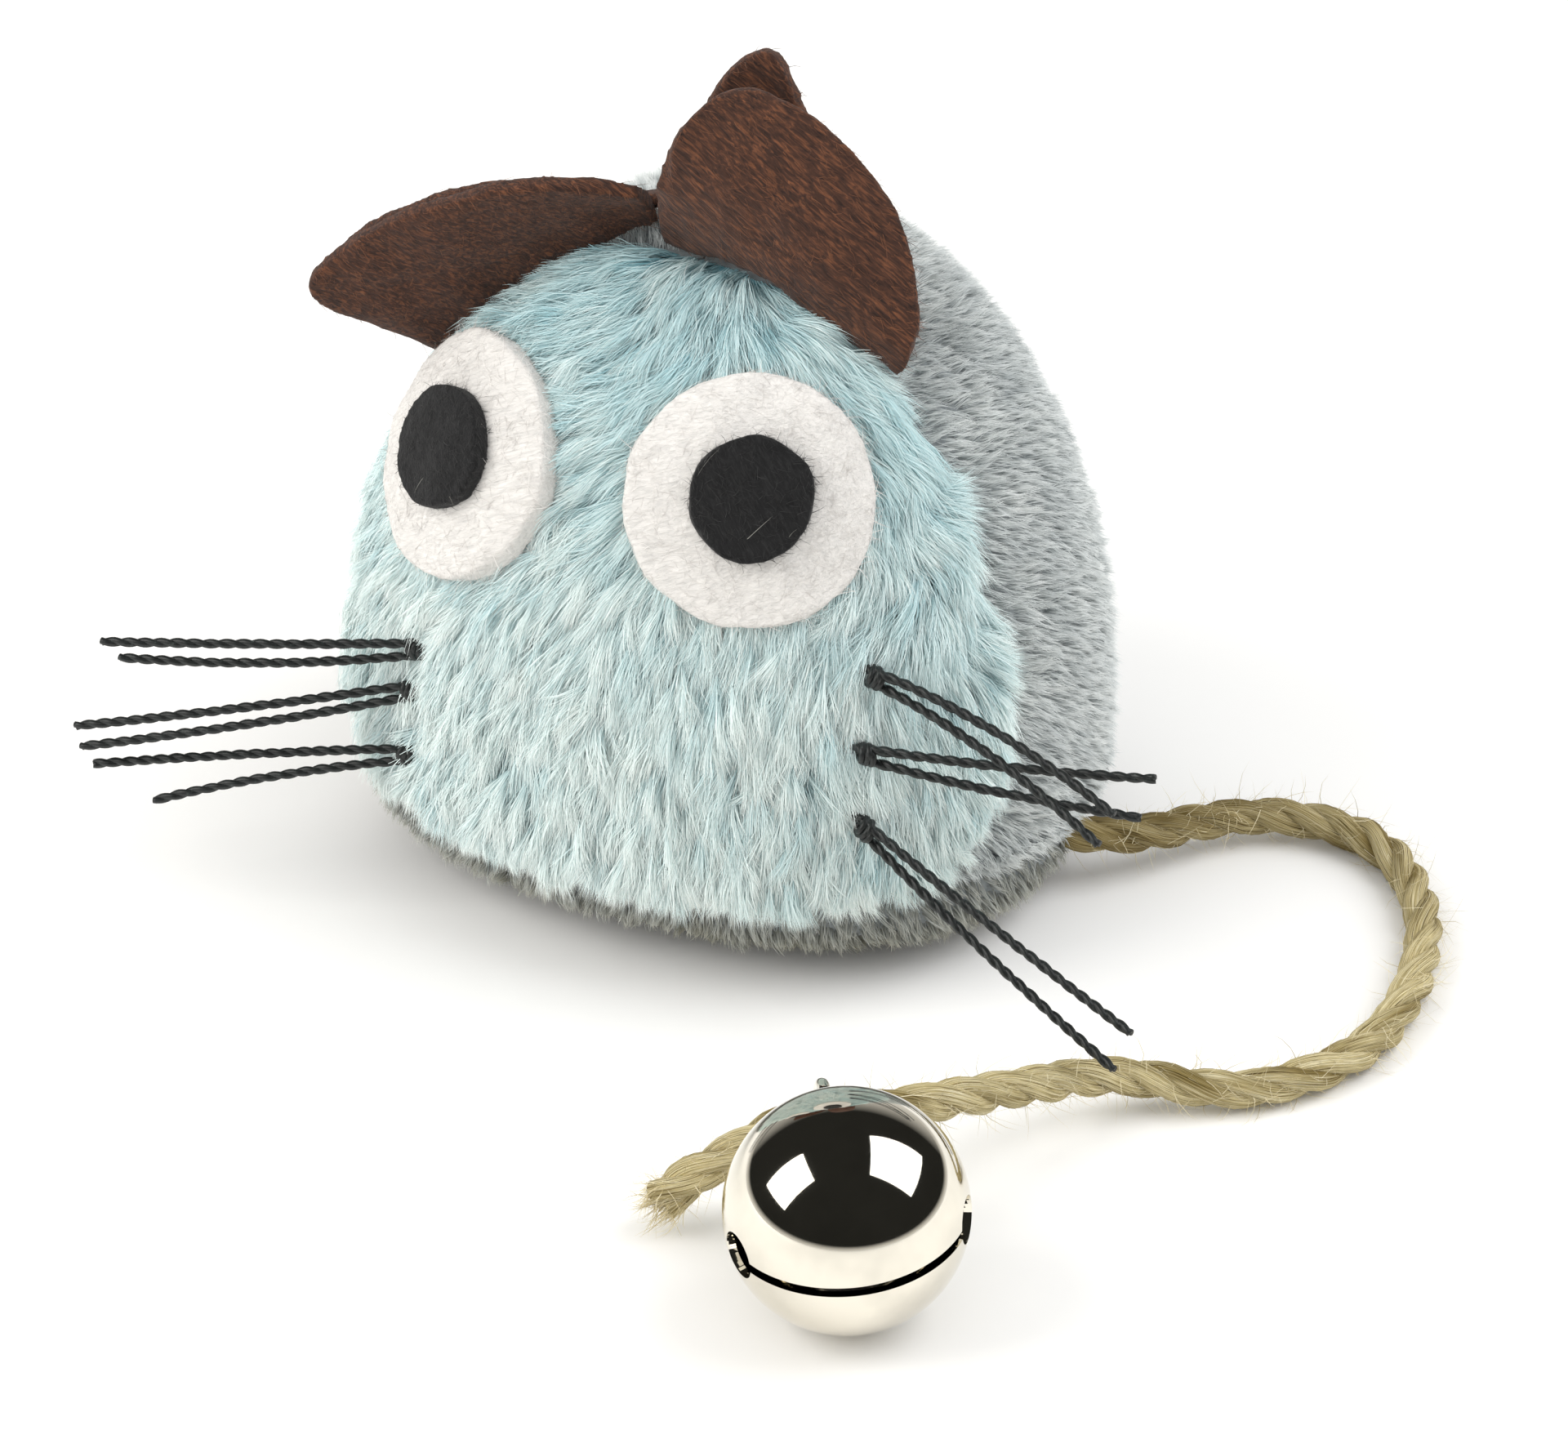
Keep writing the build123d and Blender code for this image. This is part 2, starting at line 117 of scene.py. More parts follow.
# ---- the tail's route, and the run of it that the bell hangs on ----
ROPE_DIAMETER = 3.0 * MM
TAIL_ROUTE = [
    Vector(point) * MM
    for point in (
        (31.28, 1.8, 4.0),
        (39.28, 14.0, 2.0),
        (49.58, 14.7, 1.6),
        (56.28, 6.6, 1.6),
        (59.08, -3.8, 1.6),
        (58.48, -14.6, 1.6),
        (51.88, -23.1, 1.6),
        (42.48, -25.4, 2.8),
        (37.98, -35.0, 6.2),
        (31.78, -46.2, 9.7),
        (24.98, -50.4, 9.7),
        (17.78, -53.8, 2.8),
    )
]
TAIL_ROOT = Vector((27.6, 1.2, 4.8)) * MM  # inside the body, at the stopper knot
BELL_RUN = 9
ROPE_LAY = 11.5 * MM  # one full turn of its three strands

# ---- bell ----
BELL_RADIUS = 9.0 * MM
BELL_WALL = 0.6 * MM
BELL_REACH = BELL_RADIUS + 0.5 * MM + ROPE_DIAMETER / 2
BELL_DROOP = radians(3)
BELL_ROLL = radians(5)
SLOT_WIDTH = 0.8 * MM
SLOT_HALF_ANGLE = radians(70)
SLOT_HOLE_RADIUS = 1.8 * MM

# ---- whiskers: root as shares, then bend and tip of the upper and the lower strand, in mm ----
THREAD = 0.8 * MM
STRAND_SPACING = 1.0 * MM
KNOT_RADIUS = 1.1 * MM
RIGHT_ROOT_DEPTH = 1.3 * MM  # the right cheek's knots are drawn down into the pile
PLY = 0.54 * MM  # each of the thread's two plies
PLY_OFFSET = (THREAD - PLY) / 2
PLY_LAY = 2.6 * MM
WHISKERS = {
    "left_1": ((0.649, 0.521), ((10.0, -1.2, -0.8), (21.2, -4.2, -4.8)), ((9.6, -2.0, -1.2), (20.6, -5.6, -5.8))),
    "left_2": ((0.649, 0.415), ((10.6, 0.4, 0.6), (22.6, 2.2, 1.8)), ((10.4, 0.2, -0.6), (21.6, 2.0, -0.8))),
    "left_3": ((0.656, 0.305), ((11.2, -3.2, -4.2), (25.0, -8.0, -7.4)), ((10.4, -3.8, -5.0), (24.0, -8.6, -9.6))),
    "right_1": ((-0.543, 0.429), ((-10.8, -4.4, -0.4), (-24.0, -7.4, -1.6)), ((-10.4, -4.6, -1.4), (-22.6, -7.2, -1.8))),
    "right_2": ((-0.56, 0.362), ((-10.8, -4.2, -2.4), (-26.2, -7.4, -6.2)), ((-10.6, -4.4, -2.8), (-25.8, -7.4, -7.0))),
    "right_3": ((-0.576, 0.255), ((-10.6, -3.6, -0.8), (-24.8, -6.4, -4.0)), ((-10.4, -3.6, -1.6), (-19.4, -6.8, -4.8))),
}

STRAND_MAP = "OFBake"  # along a strand in its first axis, its tone in the second


# ======================================================================== finishes


def paint(red, green, blue):
    """A colour from its display values, 0 to 255."""
    values = [c / 255 for c in (red, green, blue)]
    return tuple(c / 12.92 if c <= 0.04045 else ((c + 0.055) / 1.055) ** 2.4 for c in values) + (1.0,)


class Finish:
    """A material being put together from nodes around one shader."""

    def __init__(self, name, roughness=0.9, **sockets):
        self.material = bpy.data.materials.new(name)
        self.material.use_nodes = True
        self.nodes = self.material.node_tree.nodes
        self.links = self.material.node_tree.links
        self.shader = self.nodes["Principled BSDF"]
        self.shader.inputs["Roughness"].default_value = roughness
        for socket, value in sockets.items():
            self.shader.inputs[socket.replace("_", " ")].default_value = value

    def node(self, kind, **values):
        made = self.nodes.new(kind)
        for name, value in values.items():
            if name in made.inputs:
                made.inputs[name].default_value = value
            else:
                setattr(made, name, value)
        return made

    def link(self, source, target):
        self.links.new(source, target)

    def placed(self, scale, turn=(0, 0, 0)):
        """The piece's own coordinates, in a frame that is turned and then scaled."""
        coordinates = self.node("ShaderNodeTexCoord")
        grain_size = tuple(1 / s for s in scale)
        mapping = self.node("ShaderNodeMapping", vector_type="TEXTURE", Scale=grain_size, Rotation=turn)
        self.link(coordinates.outputs["Object"], mapping.inputs["Vector"])
        return mapping.outputs["Vector"]

    def mapped(self, scale, turn=(0, 0, 0)):
        """The piece's strand map, stretched and turned."""
        coordinates = self.node("ShaderNodeUVMap", uv_map=STRAND_MAP)
        mapping = self.node("ShaderNodeMapping", Scale=scale, Rotation=turn)
        self.link(coordinates.outputs["UV"], mapping.inputs["Vector"])
        return mapping.outputs["Vector"]

    def grain(self, where, scale, detail=4.0, roughness=0.6, distortion=0.0):
        texture = self.node(
            "ShaderNodeTexNoise", Scale=scale, Detail=detail, Roughness=roughness, Distortion=distortion
        )
        self.link(where, texture.inputs["Vector"])
        return texture.outputs["Fac"]

    def ramp(self, value, *stops):
        """Colours at places from 0 to 1."""
        made = self.node("ShaderNodeValToRGB")
        elements = made.color_ramp.elements
        while len(elements) < len(stops):
            elements.new(0.5)
        for element, (place, colour) in zip(elements, stops):
            element.position = place
            element.color = colour
        self.link(value, made.inputs["Fac"])
        return made.outputs["Color"]

    def mixed(self, amount, low, high, blend="MIX"):
        made = self.node("ShaderNodeMix", data_type="RGBA", blend_type=blend)
        for socket, value in ((made.inputs[0], amount), (made.inputs[6], low), (made.inputs[7], high)):
            if isinstance(value, bpy.types.NodeSocket):
                self.link(value, socket)
            else:
                socket.default_value = value
        return made.outputs[2]

    def coloured(self, colour):
        self.link(colour, self.shader.inputs["Base Color"])
        return self

    def bumped(self, height, distance, strength=1.0):
        bump = self.node("ShaderNodeBump", Distance=distance, Strength=strength)
        self.link(height, bump.inputs["Height"])
        self.link(bump.outputs["Normal"], self.shader.inputs["Normal"])
        return self


def pile_finish(name, deep, pale):
    """Strands whose colour runs from root to tip, between a deep and a pale fibre. A darker root is painted shade deep
    in the pile.
    """
    finish = Finish(name, roughness=0.62, Sheen_Weight=0.12, Sheen_Roughness=0.5, Specular_IOR_Level=0.25)
    places = finish.node("ShaderNodeUVMap", uv_map=STRAND_MAP)
    split = finish.node("ShaderNodeSeparateXYZ")
    finish.link(places.outputs["UV"], split.inputs["Vector"])
    # Each ramp runs root, middle, tip; its darker root stop is painted shade deep in the pile.
    deep_fibre = finish.ramp(split.outputs["X"], (0.0, deep[0]), (0.55, deep[1]), (1.0, deep[2]))
    pale_fibre = finish.ramp(split.outputs["X"], (0.0, pale[0]), (0.55, pale[1]), (1.0, pale[2]))
    return finish.coloured(finish.mixed(split.outputs["Y"], deep_fibre, pale_fibre)).material


def backing_finish(name, dark, light):
    """Knitted backing, seen only between the pile's tufts."""
    finish = Finish(name, roughness=0.95)
    cloud = finish.grain(finish.placed((1, 1, 1)), 900, detail=5)
    return finish.coloured(finish.ramp(cloud, (0.3, dark), (0.7, light))).bumped(cloud, 0.1 * MM).material


def felt_finish(name, dark, middle, light, streak_turn):
    """Needled felt: matted fibres that lie mostly one way, with paler ones among them."""
    finish = Finish(name, roughness=0.95, Sheen_Weight=0.1, Sheen_Roughness=0.6, Specular_IOR_Level=0.2)
    streaks = finish.grain(finish.placed((560, 4200, 4200), streak_turn), 1.0, detail=5, distortion=0.8)
    cloud = finish.grain(finish.placed((1, 1, 1)), 620, detail=5, distortion=0.6)
    fibres = finish.ramp(streaks, (0.3, dark), (0.5, middle), (0.74, light))
    patches = finish.ramp(cloud, (0.3, dark), (0.55, middle), (0.8, middle))
    return finish.coloured(finish.mixed(0.25, fibres, patches)).bumped(streaks, 0.12 * MM).material


def lint_finish(name, deep, pale):
    """Loose single fibres, plain along their length."""
    return pile_finish(name, (deep,) * 3, (pale,) * 3)


def jute_finish(name):
    """Long pale bast fibres along each strand, with painted shade in the hollows between them."""
    finish = Finish(name, roughness=0.85, Specular_IOR_Level=0.3)
    fibres = finish.grain(finish.mapped((26, 210, 1)), 1.0, detail=5, roughness=0.65, distortion=0.4)
    patches = finish.grain(finish.mapped((9, 5, 1)), 1.0, detail=3)
    # The darkest stop is painted shade in the hollows between the fibres.
    tint = finish.ramp(
        fibres,
        (0.37, paint(104, 88, 50)), (0.45, paint(198, 182, 134)), (0.55, paint(236, 224, 184)),
        (0.66, paint(254, 248, 226)),
    )
    shade = finish.ramp(patches, (0.36, paint(172, 160, 120)), (0.52, paint(255, 252, 240)))
    split = finish.node("ShaderNodeSeparateXYZ")
    finish.link(finish.mapped((1, 1, 1)), split.inputs["Vector"])
    # Darker towards each strand's root end, where the rope comes out of the body.
    darker_towards_root = finish.ramp(split.outputs["X"], (0.02, paint(196, 188, 168)), (0.4, (1, 1, 1, 1)))
    shaded = finish.mixed(1.0, tint, shade, "MULTIPLY")
    return finish.coloured(finish.mixed(1.0, shaded, darker_towards_root, "MULTIPLY")).bumped(fibres, 0.3 * MM).material


def waxed_finish(name):
    """Black waxed thread, with a dull shine and greenish flecks where it is rubbed."""
    finish = Finish(name, roughness=0.5, Coat_Weight=0.15, Coat_Roughness=0.3)
    flecks = finish.grain(finish.placed((1, 1, 1)), 2600, detail=3)
    tint = finish.ramp(flecks, (0.35, paint(11, 15, 15)), (0.62, paint(25, 31, 30)), (0.8, paint(66, 73, 69)))
    return finish.coloured(tint).bumped(flecks, 0.04 * MM).material


def chrome_finish(name, tint, low, high):
    """Plated metal, whose polish varies a little."""
    finish = Finish(name, Metallic=1.0)
    polish = finish.grain(finish.placed((1, 1, 1)), 160, detail=3)
    spread = finish.node("ShaderNodeMapRange")
    spread.inputs["To Min"].default_value = low
    spread.inputs["To Max"].default_value = high
    finish.link(polish, spread.inputs["Value"])
    finish.link(spread.outputs["Result"], finish.shader.inputs["Roughness"])
    dull = tuple(0.86 * c for c in tint[:3]) + (1.0,)
    return finish.coloured(finish.ramp(polish, (0.3, dull), (0.55, tint))).material


def wadding_finish(name):
    finish = Finish(name, roughness=0.9, Sheen_Weight=0.3)
    wisps = finish.grain(finish.placed((300, 300, 90)), 1.0, detail=6, distortion=1.5)
    tint = finish.ramp(wisps, (0.3, paint(214, 214, 208)), (0.7, paint(248, 248, 244)))
    return finish.coloured(tint).bumped(wisps, 0.6 * MM).material


def floor_finish(name):
    finish = Finish(name, roughness=0.8, Specular_IOR_Level=0.1)
    cloud = finish.grain(finish.placed((1, 1, 1)), 3.0, detail=2)
    return finish.coloured(finish.ramp(cloud, (0.2, (0.9, 0.895, 0.88, 1)), (0.8, (0.93, 0.925, 0.91, 1)))).material


# Each fibre is given root, middle and tip colours; the darker roots are painted shade deep in the pile.
FACE_FUR = pile_finish(
    "face_fur",
    (paint(88, 150, 166), paint(132, 190, 201), paint(170, 216, 222)),
    (paint(172, 212, 218), paint(229, 242, 240), paint(248, 252, 248)),
)
GREY_FUR = pile_finish(
    "grey_fur",
    (paint(128, 135, 137), paint(174, 181, 182), paint(206, 212, 212)),
    (paint(186, 192, 192), paint(228, 232, 230), paint(246, 248, 246)),
)
BELLY_FUR = pile_finish(
    "belly_fur",
    (paint(72, 71, 62), paint(116, 114, 98), paint(150, 146, 124)),
    (paint(120, 124, 122), paint(172, 176, 172), paint(206, 207, 200)),
)
FACE_BACKING = backing_finish("face_backing", paint(84, 142, 158), paint(120, 176, 188))
GREY_BACKING = backing_finish("grey_backing", paint(104, 110, 112), paint(144, 150, 151))
EAR_FELT = felt_finish(
    "ear_felt", paint(26, 17, 15), paint(68, 43, 32), paint(138, 86, 56), (0, radians(38), radians(10))
)
EYE_FELT = felt_finish(
    "eye_felt", paint(198, 196, 193), paint(222, 219, 215), paint(240, 237, 233), (0, radians(-25), 0)
)
PUPIL_FELT = felt_finish(
    "pupil_felt", paint(13, 13, 14), paint(24, 24, 25), paint(44, 44, 44), (0, radians(60), 0)
)
EAR_LINT = lint_finish("ear_lint", paint(50, 32, 25), paint(134, 86, 58))
EYE_LINT = lint_finish("eye_lint", paint(196, 192, 188), paint(232, 229, 225))
PUPIL_LINT = lint_finish("pupil_lint", paint(18, 18, 18), paint(52, 52, 52))
STRAY_LINT = lint_finish("stray_lint", paint(120, 119, 113), paint(186, 184, 176))
JUTE = jute_finish("jute_strand")
JUTE_LINT = lint_finish("jute_lint", paint(176, 158, 108), paint(238, 228, 194))
WAXED = waxed_finish("waxed_thread")
CHROME = chrome_finish("bell_chrome", (0.79, 0.75, 0.655, 1), 0.03, 0.07)
STEEL = chrome_finish("pellet_steel", (0.62, 0.61, 0.6, 1), 0.25, 0.4)
WADDING = wadding_finish("wadding")
FLOOR = floor_finish("floor")


# ======================================================================== meshes


def positions(mesh):
    found = np.empty(len(mesh.vertices) * 3)
    mesh.vertices.foreach_get("co", found)
    return found.reshape(-1, 3)


def move_to(mesh, places):
    mesh.vertices.foreach_set("co", np.asarray(places, np.float32).ravel())
    mesh.update()


def shown(mesh, name, finish, smooth=True):
    """A piece made from a mesh."""
    mesh.name = name
    mesh.materials.clear()
    mesh.materials.append(finish)
    if smooth:
        mesh.shade_smooth()
    made = bpy.data.objects.new(name, mesh)
    bpy.context.scene.collection.objects.link(made)
    return made


def finished_mesh(obj):
    """The object's mesh with its modifiers or its curve's thickness, without the object."""
    graph = bpy.context.evaluated_depsgraph_get()
    made = bpy.data.meshes.new_from_object(obj.evaluated_get(graph))
    bpy.data.objects.remove(obj)
    return made


def evened(node, voxel, smoothing):
    """A copy of a frame piece's mesh in small even faces, with its edges softened."""
    shape = bmesh.new()
    shape.from_mesh(NODES[node].data)
    bmesh.ops.remove_doubles(shape, verts=shape.verts, dist=0.001 * MM)
    mesh = bpy.data.meshes.new(node + "_copy")
    shape.to_mesh(mesh)
    shape.free()
    obj = bpy.data.objects.new(node + "_copy", mesh)
    bpy.context.scene.collection.objects.link(obj)
    even = obj.modifiers.new("even", "REMESH")
    even.mode = "VOXEL"
    even.voxel_size = voxel
    relax = obj.modifiers.new("relax", "SMOOTH")
    relax.iterations = smoothing
    return finished_mesh(obj)


def corners_of(mesh):
    """The mesh's triangles, as an array of their corners' places."""
    mesh.calc_loop_triangles()
    indices = np.empty(len(mesh.loop_triangles) * 3, np.int32)
    mesh.loop_triangles.foreach_get("vertices", indices)
    return positions(mesh)[indices].reshape(-1, 3, 3)


def unit(vectors):
    return vectors / np.maximum(np.linalg.norm(vectors, axis=-1, keepdims=True), 1e-12)


def facings(triangles):
    return unit(np.cross(triangles[:, 1] - triangles[:, 0], triangles[:, 2] - triangles[:, 0]))


def outer_side(node):
    """The triangles of a panel that face away from the body's middle."""
    triangles = corners_of(NODES[node].data)
    outward = unit(triangles.mean(1) - np.array(BODY_MIDDLE))
    return triangles[(facings(triangles) * outward).sum(1) > 0.45]


def tree_of(triangles):
    """A search tree in millimetres, since a ray misses triangles of a few square microns."""
    return BVHTree.FromPolygons(
        (triangles.reshape(-1, 3) / MM).tolist(), np.arange(len(triangles) * 3).reshape(-1, 3).tolist()
    )


def nearest_on(tree, places):
    """For each place the nearest point of the tree, the facing there and how far off it is."""
    found = [tree.find_nearest(p) for p in (places / MM).tolist()]
    return np.array([f[0] for f in found]) * MM, np.array([f[1] for f in found]), np.array([f[3] for f in found]) * MM


OUTER = {panel: outer_side(panel) for panel in PANELS}
OUTER_TREE = tree_of(np.concatenate([OUTER[panel] for panel in PANELS]))
NEXT_TREE = {
    panel: tree_of(np.concatenate([OUTER[other] for other in PANELS if other != panel])) for panel in PANELS
}


def front_point(x_share, z_share):
    """The point of the body's front at these shares of its half width and height.

    It is the middle of four points round it, because a whisker's stitch leaves a hole there.
    """
    hits = []
    for right, up in ((-1.6, 0), (1.6, 0), (0, -1.6), (0, 1.6)):
        start = Vector((x_share * HALF_WIDTH / MM + right, -100, z_share * HEIGHT / MM + up))
        hits.append(OUTER_TREE.ray_cast(start, Vector((0, 1, 0))))
    place = sum((hit[0] for hit in hits), Vector()) / len(hits)
    normal = sum((hit[1] for hit in hits), Vector()).normalized()
    return place * MM, normal


def toward(azimuth, elevation):
    a, e = radians(azimuth), radians(elevation)
    return Vector((sin(a) * cos(e), -cos(a) * cos(e), sin(e)))


def eased(share):
    """From 1 at 0 down to 0 at 1, gently at both ends."""
    share = np.clip(share, 0, 1)
    return 1 - share * share * (3 - 2 * share)


def seam_nearness(panel, places):
    """1 on the panel's seams and 0 a little way off."""
    return eased(nearest_on(NEXT_TREE[panel], places)[2] / SEAM_REACH)


def backing(panel, depth, voxel):
    """The panel's fabric under its pile, drawn in along its seams."""
    mesh = evened(panel, voxel, 3)
    places = positions(mesh)
    foot, outward, _ = nearest_on(OUTER_TREE, places)
    inward = np.clip(((foot - places) * outward).sum(1), 0, FABRIC)
    top = depth + SEAM_TUCK * seam_nearness(panel, foot)
    thickness = np.maximum(FABRIC - top, 0.4 * MM)
    move_to(mesh, foot - outward * (top + thickness * inward / FABRIC)[:, None])
    places = positions(mesh)
    places[:, 2] = np.maximum(places[:, 2], 2 * FLOOR_GAP)
    move_to(mesh, places)
    return mesh


# ======================================================================== strands


def scattered(triangles, count, draw):
    """Points spread evenly over triangles, with the triangles' facings."""
    sides = np.cross(triangles[:, 1] - triangles[:, 0], triangles[:, 2] - triangles[:, 0])
    areas = np.linalg.norm(sides, axis=1)
    chosen = draw.choice(len(triangles), count, p=areas / areas.sum())
    first, second = draw.random((2, count, 1))
    over = first + second > 1
    first, second = np.where(over, 1 - first, first), np.where(over, 1 - second, second)
    corner = triangles[chosen]
    places = corner[:, 0] + first * (corner[:, 1] - corner[:, 0]) + second * (corner[:, 2] - corner[:, 0])
    return places, facings(triangles)[chosen]


def ribbons(name, lines, sides, widths, tones, finish):
    """One tapering ribbon along each line of points; the last point is its tip."""
    count, steps, _ = lines.shape
    body = steps - 1
    half = sides[:, None, :] * (widths[:, None] * np.linspace(1.0, 0.55, body)[None, :])[:, :, None] / 2
    left, right = lines[:, :body] - half, lines[:, :body] + half
    per_strand = 2 * body + 1
    verts = np.empty((count, per_strand, 3))
    verts[:, 0 : 2 * body : 2] = left
    verts[:, 1 : 2 * body : 2] = right
    verts[:, -1] = lines[:, -1]
    pattern = []
    for step in range(body - 1):
        low = 2 * step
        pattern += [low, low + 1, low + 3, low + 2]
    pattern += [2 * body - 2, 2 * body - 1, 2 * body]
    starts = list(range(0, 4 * (body - 1) + 1, 4))
    pattern = np.array(pattern)
    loops = (pattern[None, :] + per_strand * np.arange(count)[:, None]).ravel()
    loop_starts = (np.array(starts)[None, :] + len(pattern) * np.arange(count)[:, None]).ravel()
    mesh = bpy.data.meshes.new(name)
    mesh.vertices.add(count * per_strand)
    mesh.vertices.foreach_set("co", verts.astype(np.float32).ravel())
    mesh.loops.add(len(loops))
    mesh.loops.foreach_set("vertex_index", loops.astype(np.int32))
    mesh.polygons.add(len(loop_starts))
    mesh.polygons.foreach_set("loop_start", loop_starts.astype(np.int32))
    mesh.update(calc_edges=True)
    along = np.minimum(pattern // 2, body) / body
    across = np.where(pattern == 2 * body, 0.0, np.where(pattern % 2, 0.5, -0.5)) * 0.03
    places = np.empty((count, len(pattern), 2))
    places[:, :, 0] = 0.02 + 0.96 * along[None, :]
    places[:, :, 1] = np.clip(0.03 + 0.94 * tones[:, None] + across[None, :], 0.005, 0.995)
    layer = mesh.uv_layers.new(name=STRAND_MAP)
    layer.data.foreach_set("uv", places.astype(np.float32).ravel())
    return shown(mesh, name, finish, smooth=False)


def turned_in_plane(directions, normals, angles):
    return directions * np.cos(angles)[:, None] + np.cross(normals, directions) * np.sin(angles)[:, None]


def laid(directions, normals):
    """Directions pressed flat on a surface."""
    return unit(directions - normals * (directions * normals).sum(1)[:, None])


def nearest_of(centres, places):
    tree = KDTree(len(centres))
    for index, centre in enumerate(centres):
        tree.insert(centre, index)
    tree.balance()
    return np.array([tree.find(p)[1] for p in places])


def under_felt(line_points, heights, depth):
    """Heights over the backing, kept under an eye's felt where a point lies below it."""
    for (x_share, z_share), facing in EYES.values():
        middle, axis = np.array(front_point(x_share, z_share)[0]), np.array(toward(*facing))
        apart = line_points - middle
        along = (apart * axis).sum(-1)
        from_axis = np.linalg.norm(apart - axis * along[..., None], axis=-1)
        covered = (from_axis < EYE_DIAMETER / 2 - 0.35 * MM) & (np.abs(along) < EYE_DIAMETER / 2)
        heights = np.where(covered, np.minimum(heights, depth - 0.25 * MM), heights)
    return heights


def brushed_pile(name, panel, count, parts, depth, length, width, lean, lay, tone, tuft, finish, seed):
    """The pile of one panel, gathered in tufts, as some pieces of equal size.

    lay gives the way the pile lies and tone how pale it is, both at the strands' roots. lean is
    the strands' steepness in degrees at each step. tuft is (strands in one, strands in a lock).
    """
    draw = np.random.default_rng(seed)
    feet, normals = scattered(OUTER[panel], count, draw)
    near_seam = seam_nearness(panel, feet)
    locks = feet[:: tuft[1]]
    tufts = feet[:: tuft[0]]
    lock, member = nearest_of(locks, feet), nearest_of(tufts, feet)
    lock_draw = draw.normal(size=(4, len(locks)))
    tuft_draw = draw.normal(size=(4, len(tufts)))
    own_draw = draw.normal(size=(4, count))
    direction = laid(lay(feet), normals)
    swing = radians(9) * lock_draw[0][lock] + radians(9) * tuft_draw[0][member] + radians(5) * own_draw[0]
    direction = turned_in_plane(direction, normals, np.clip(swing, -0.7, 0.7))
    sideways = np.cross(normals, direction)
    apart = feet - tufts[member]
    off_line = (apart * sideways).sum(1)
    tuft_reach = 1.1 * np.sqrt(tuft[0] * surface_area(OUTER[panel]) / count / pi)
    edge = np.clip(np.abs(off_line) / tuft_reach, 0, 1)
    reach = length * np.clip(1 + 0.1 * tuft_draw[1][member] + 0.1 * own_draw[1], 0.6, 1.35)
    overhang = OVERHANG * np.clip(1 + 0.7 * lock_draw[1][lock] + 0.5 * tuft_draw[0][member], 0, 3)
    own_tree = tree_of(OUTER[panel])
    for _ in range(3):
        flat_reach = 0.85 * reach[:, None]
        tips = feet + direction * flat_reach - normals * flat_reach**2 / (2 * 0.9 * HALF_WIDTH)
        past = nearest_on(own_tree, tips)[2] - overhang
        reach = np.maximum(reach - np.clip(past, 0, 0.5 * reach), 0.2 * length)
    rise = np.clip(1 + 0.13 * lock_draw[2][lock] + 0.12 * tuft_draw[2][member] + 0.08 * own_draw[2], 0.5, 1.4)
    rise *= (1 - 0.3 * edge) * (1 - 0.25 * near_seam)
    steps = len(lean)
    along = np.zeros((count, steps + 1))
    height = np.zeros((count, steps + 1))
    for step, angle in enumerate(lean):
        angles = radians(angle) * rise
        along[:, step + 1] = along[:, step] + reach / steps * np.cos(angles)
        height[:, step + 1] = height[:, step] + reach / steps * np.sin(angles)
    height -= along**2 / (2 * 0.9 * HALF_WIDTH)
    share = np.linspace(0, 1, steps + 1)[None, :]
    gather = -off_line[:, None] * 0.85 * share**0.9
    bow = 0.06 * length * (own_draw[3] + 1.5 * tuft_draw[3][member])[:, None] * share**2
    flat = feet[:, None, :] + direction[:, None, :] * along[:, :, None]
    flat = flat + sideways[:, None, :] * (gather + bow)[:, :, None]
    sunk = depth + SEAM_TUCK * near_seam
    height = under_felt(flat, height, depth)
    lines = flat + normals[:, None, :] * (height - sunk[:, None] - 0.1 * MM)[:, :, None]
    lines[:, :, 2] = np.maximum(lines[:, :, 2], FLOOR_GAP)
    twist = draw.uniform(-0.8, 0.8, count)
    sides = sideways * np.cos(twist)[:, None] + normals * np.sin(twist)[:, None]
    # The tone is lowered at a tuft's edges: painted shade in the partings between tufts.
    tones = tone(feet) + 0.1 * tuft_draw[3][member] + 0.07 * own_draw[2] + 0.08 * lock_draw[3][lock] - 0.16 * edge
    widths = width * draw.uniform(0.7, 1.25, count)
    pieces = []
    for part in range(parts):
        mine = slice(part, None, parts)
        label = name if parts == 1 else f"{name}_{part + 1}"
        pieces.append(ribbons(label, lines[mine], sides[mine], widths[mine], np.clip(tones[mine], 0, 1), finish))
    return pieces


def surface_area(triangles):
    return np.linalg.norm(
        np.cross(triangles[:, 1] - triangles[:, 0], triangles[:, 2] - triangles[:, 0]), axis=1
    ).sum() / 2


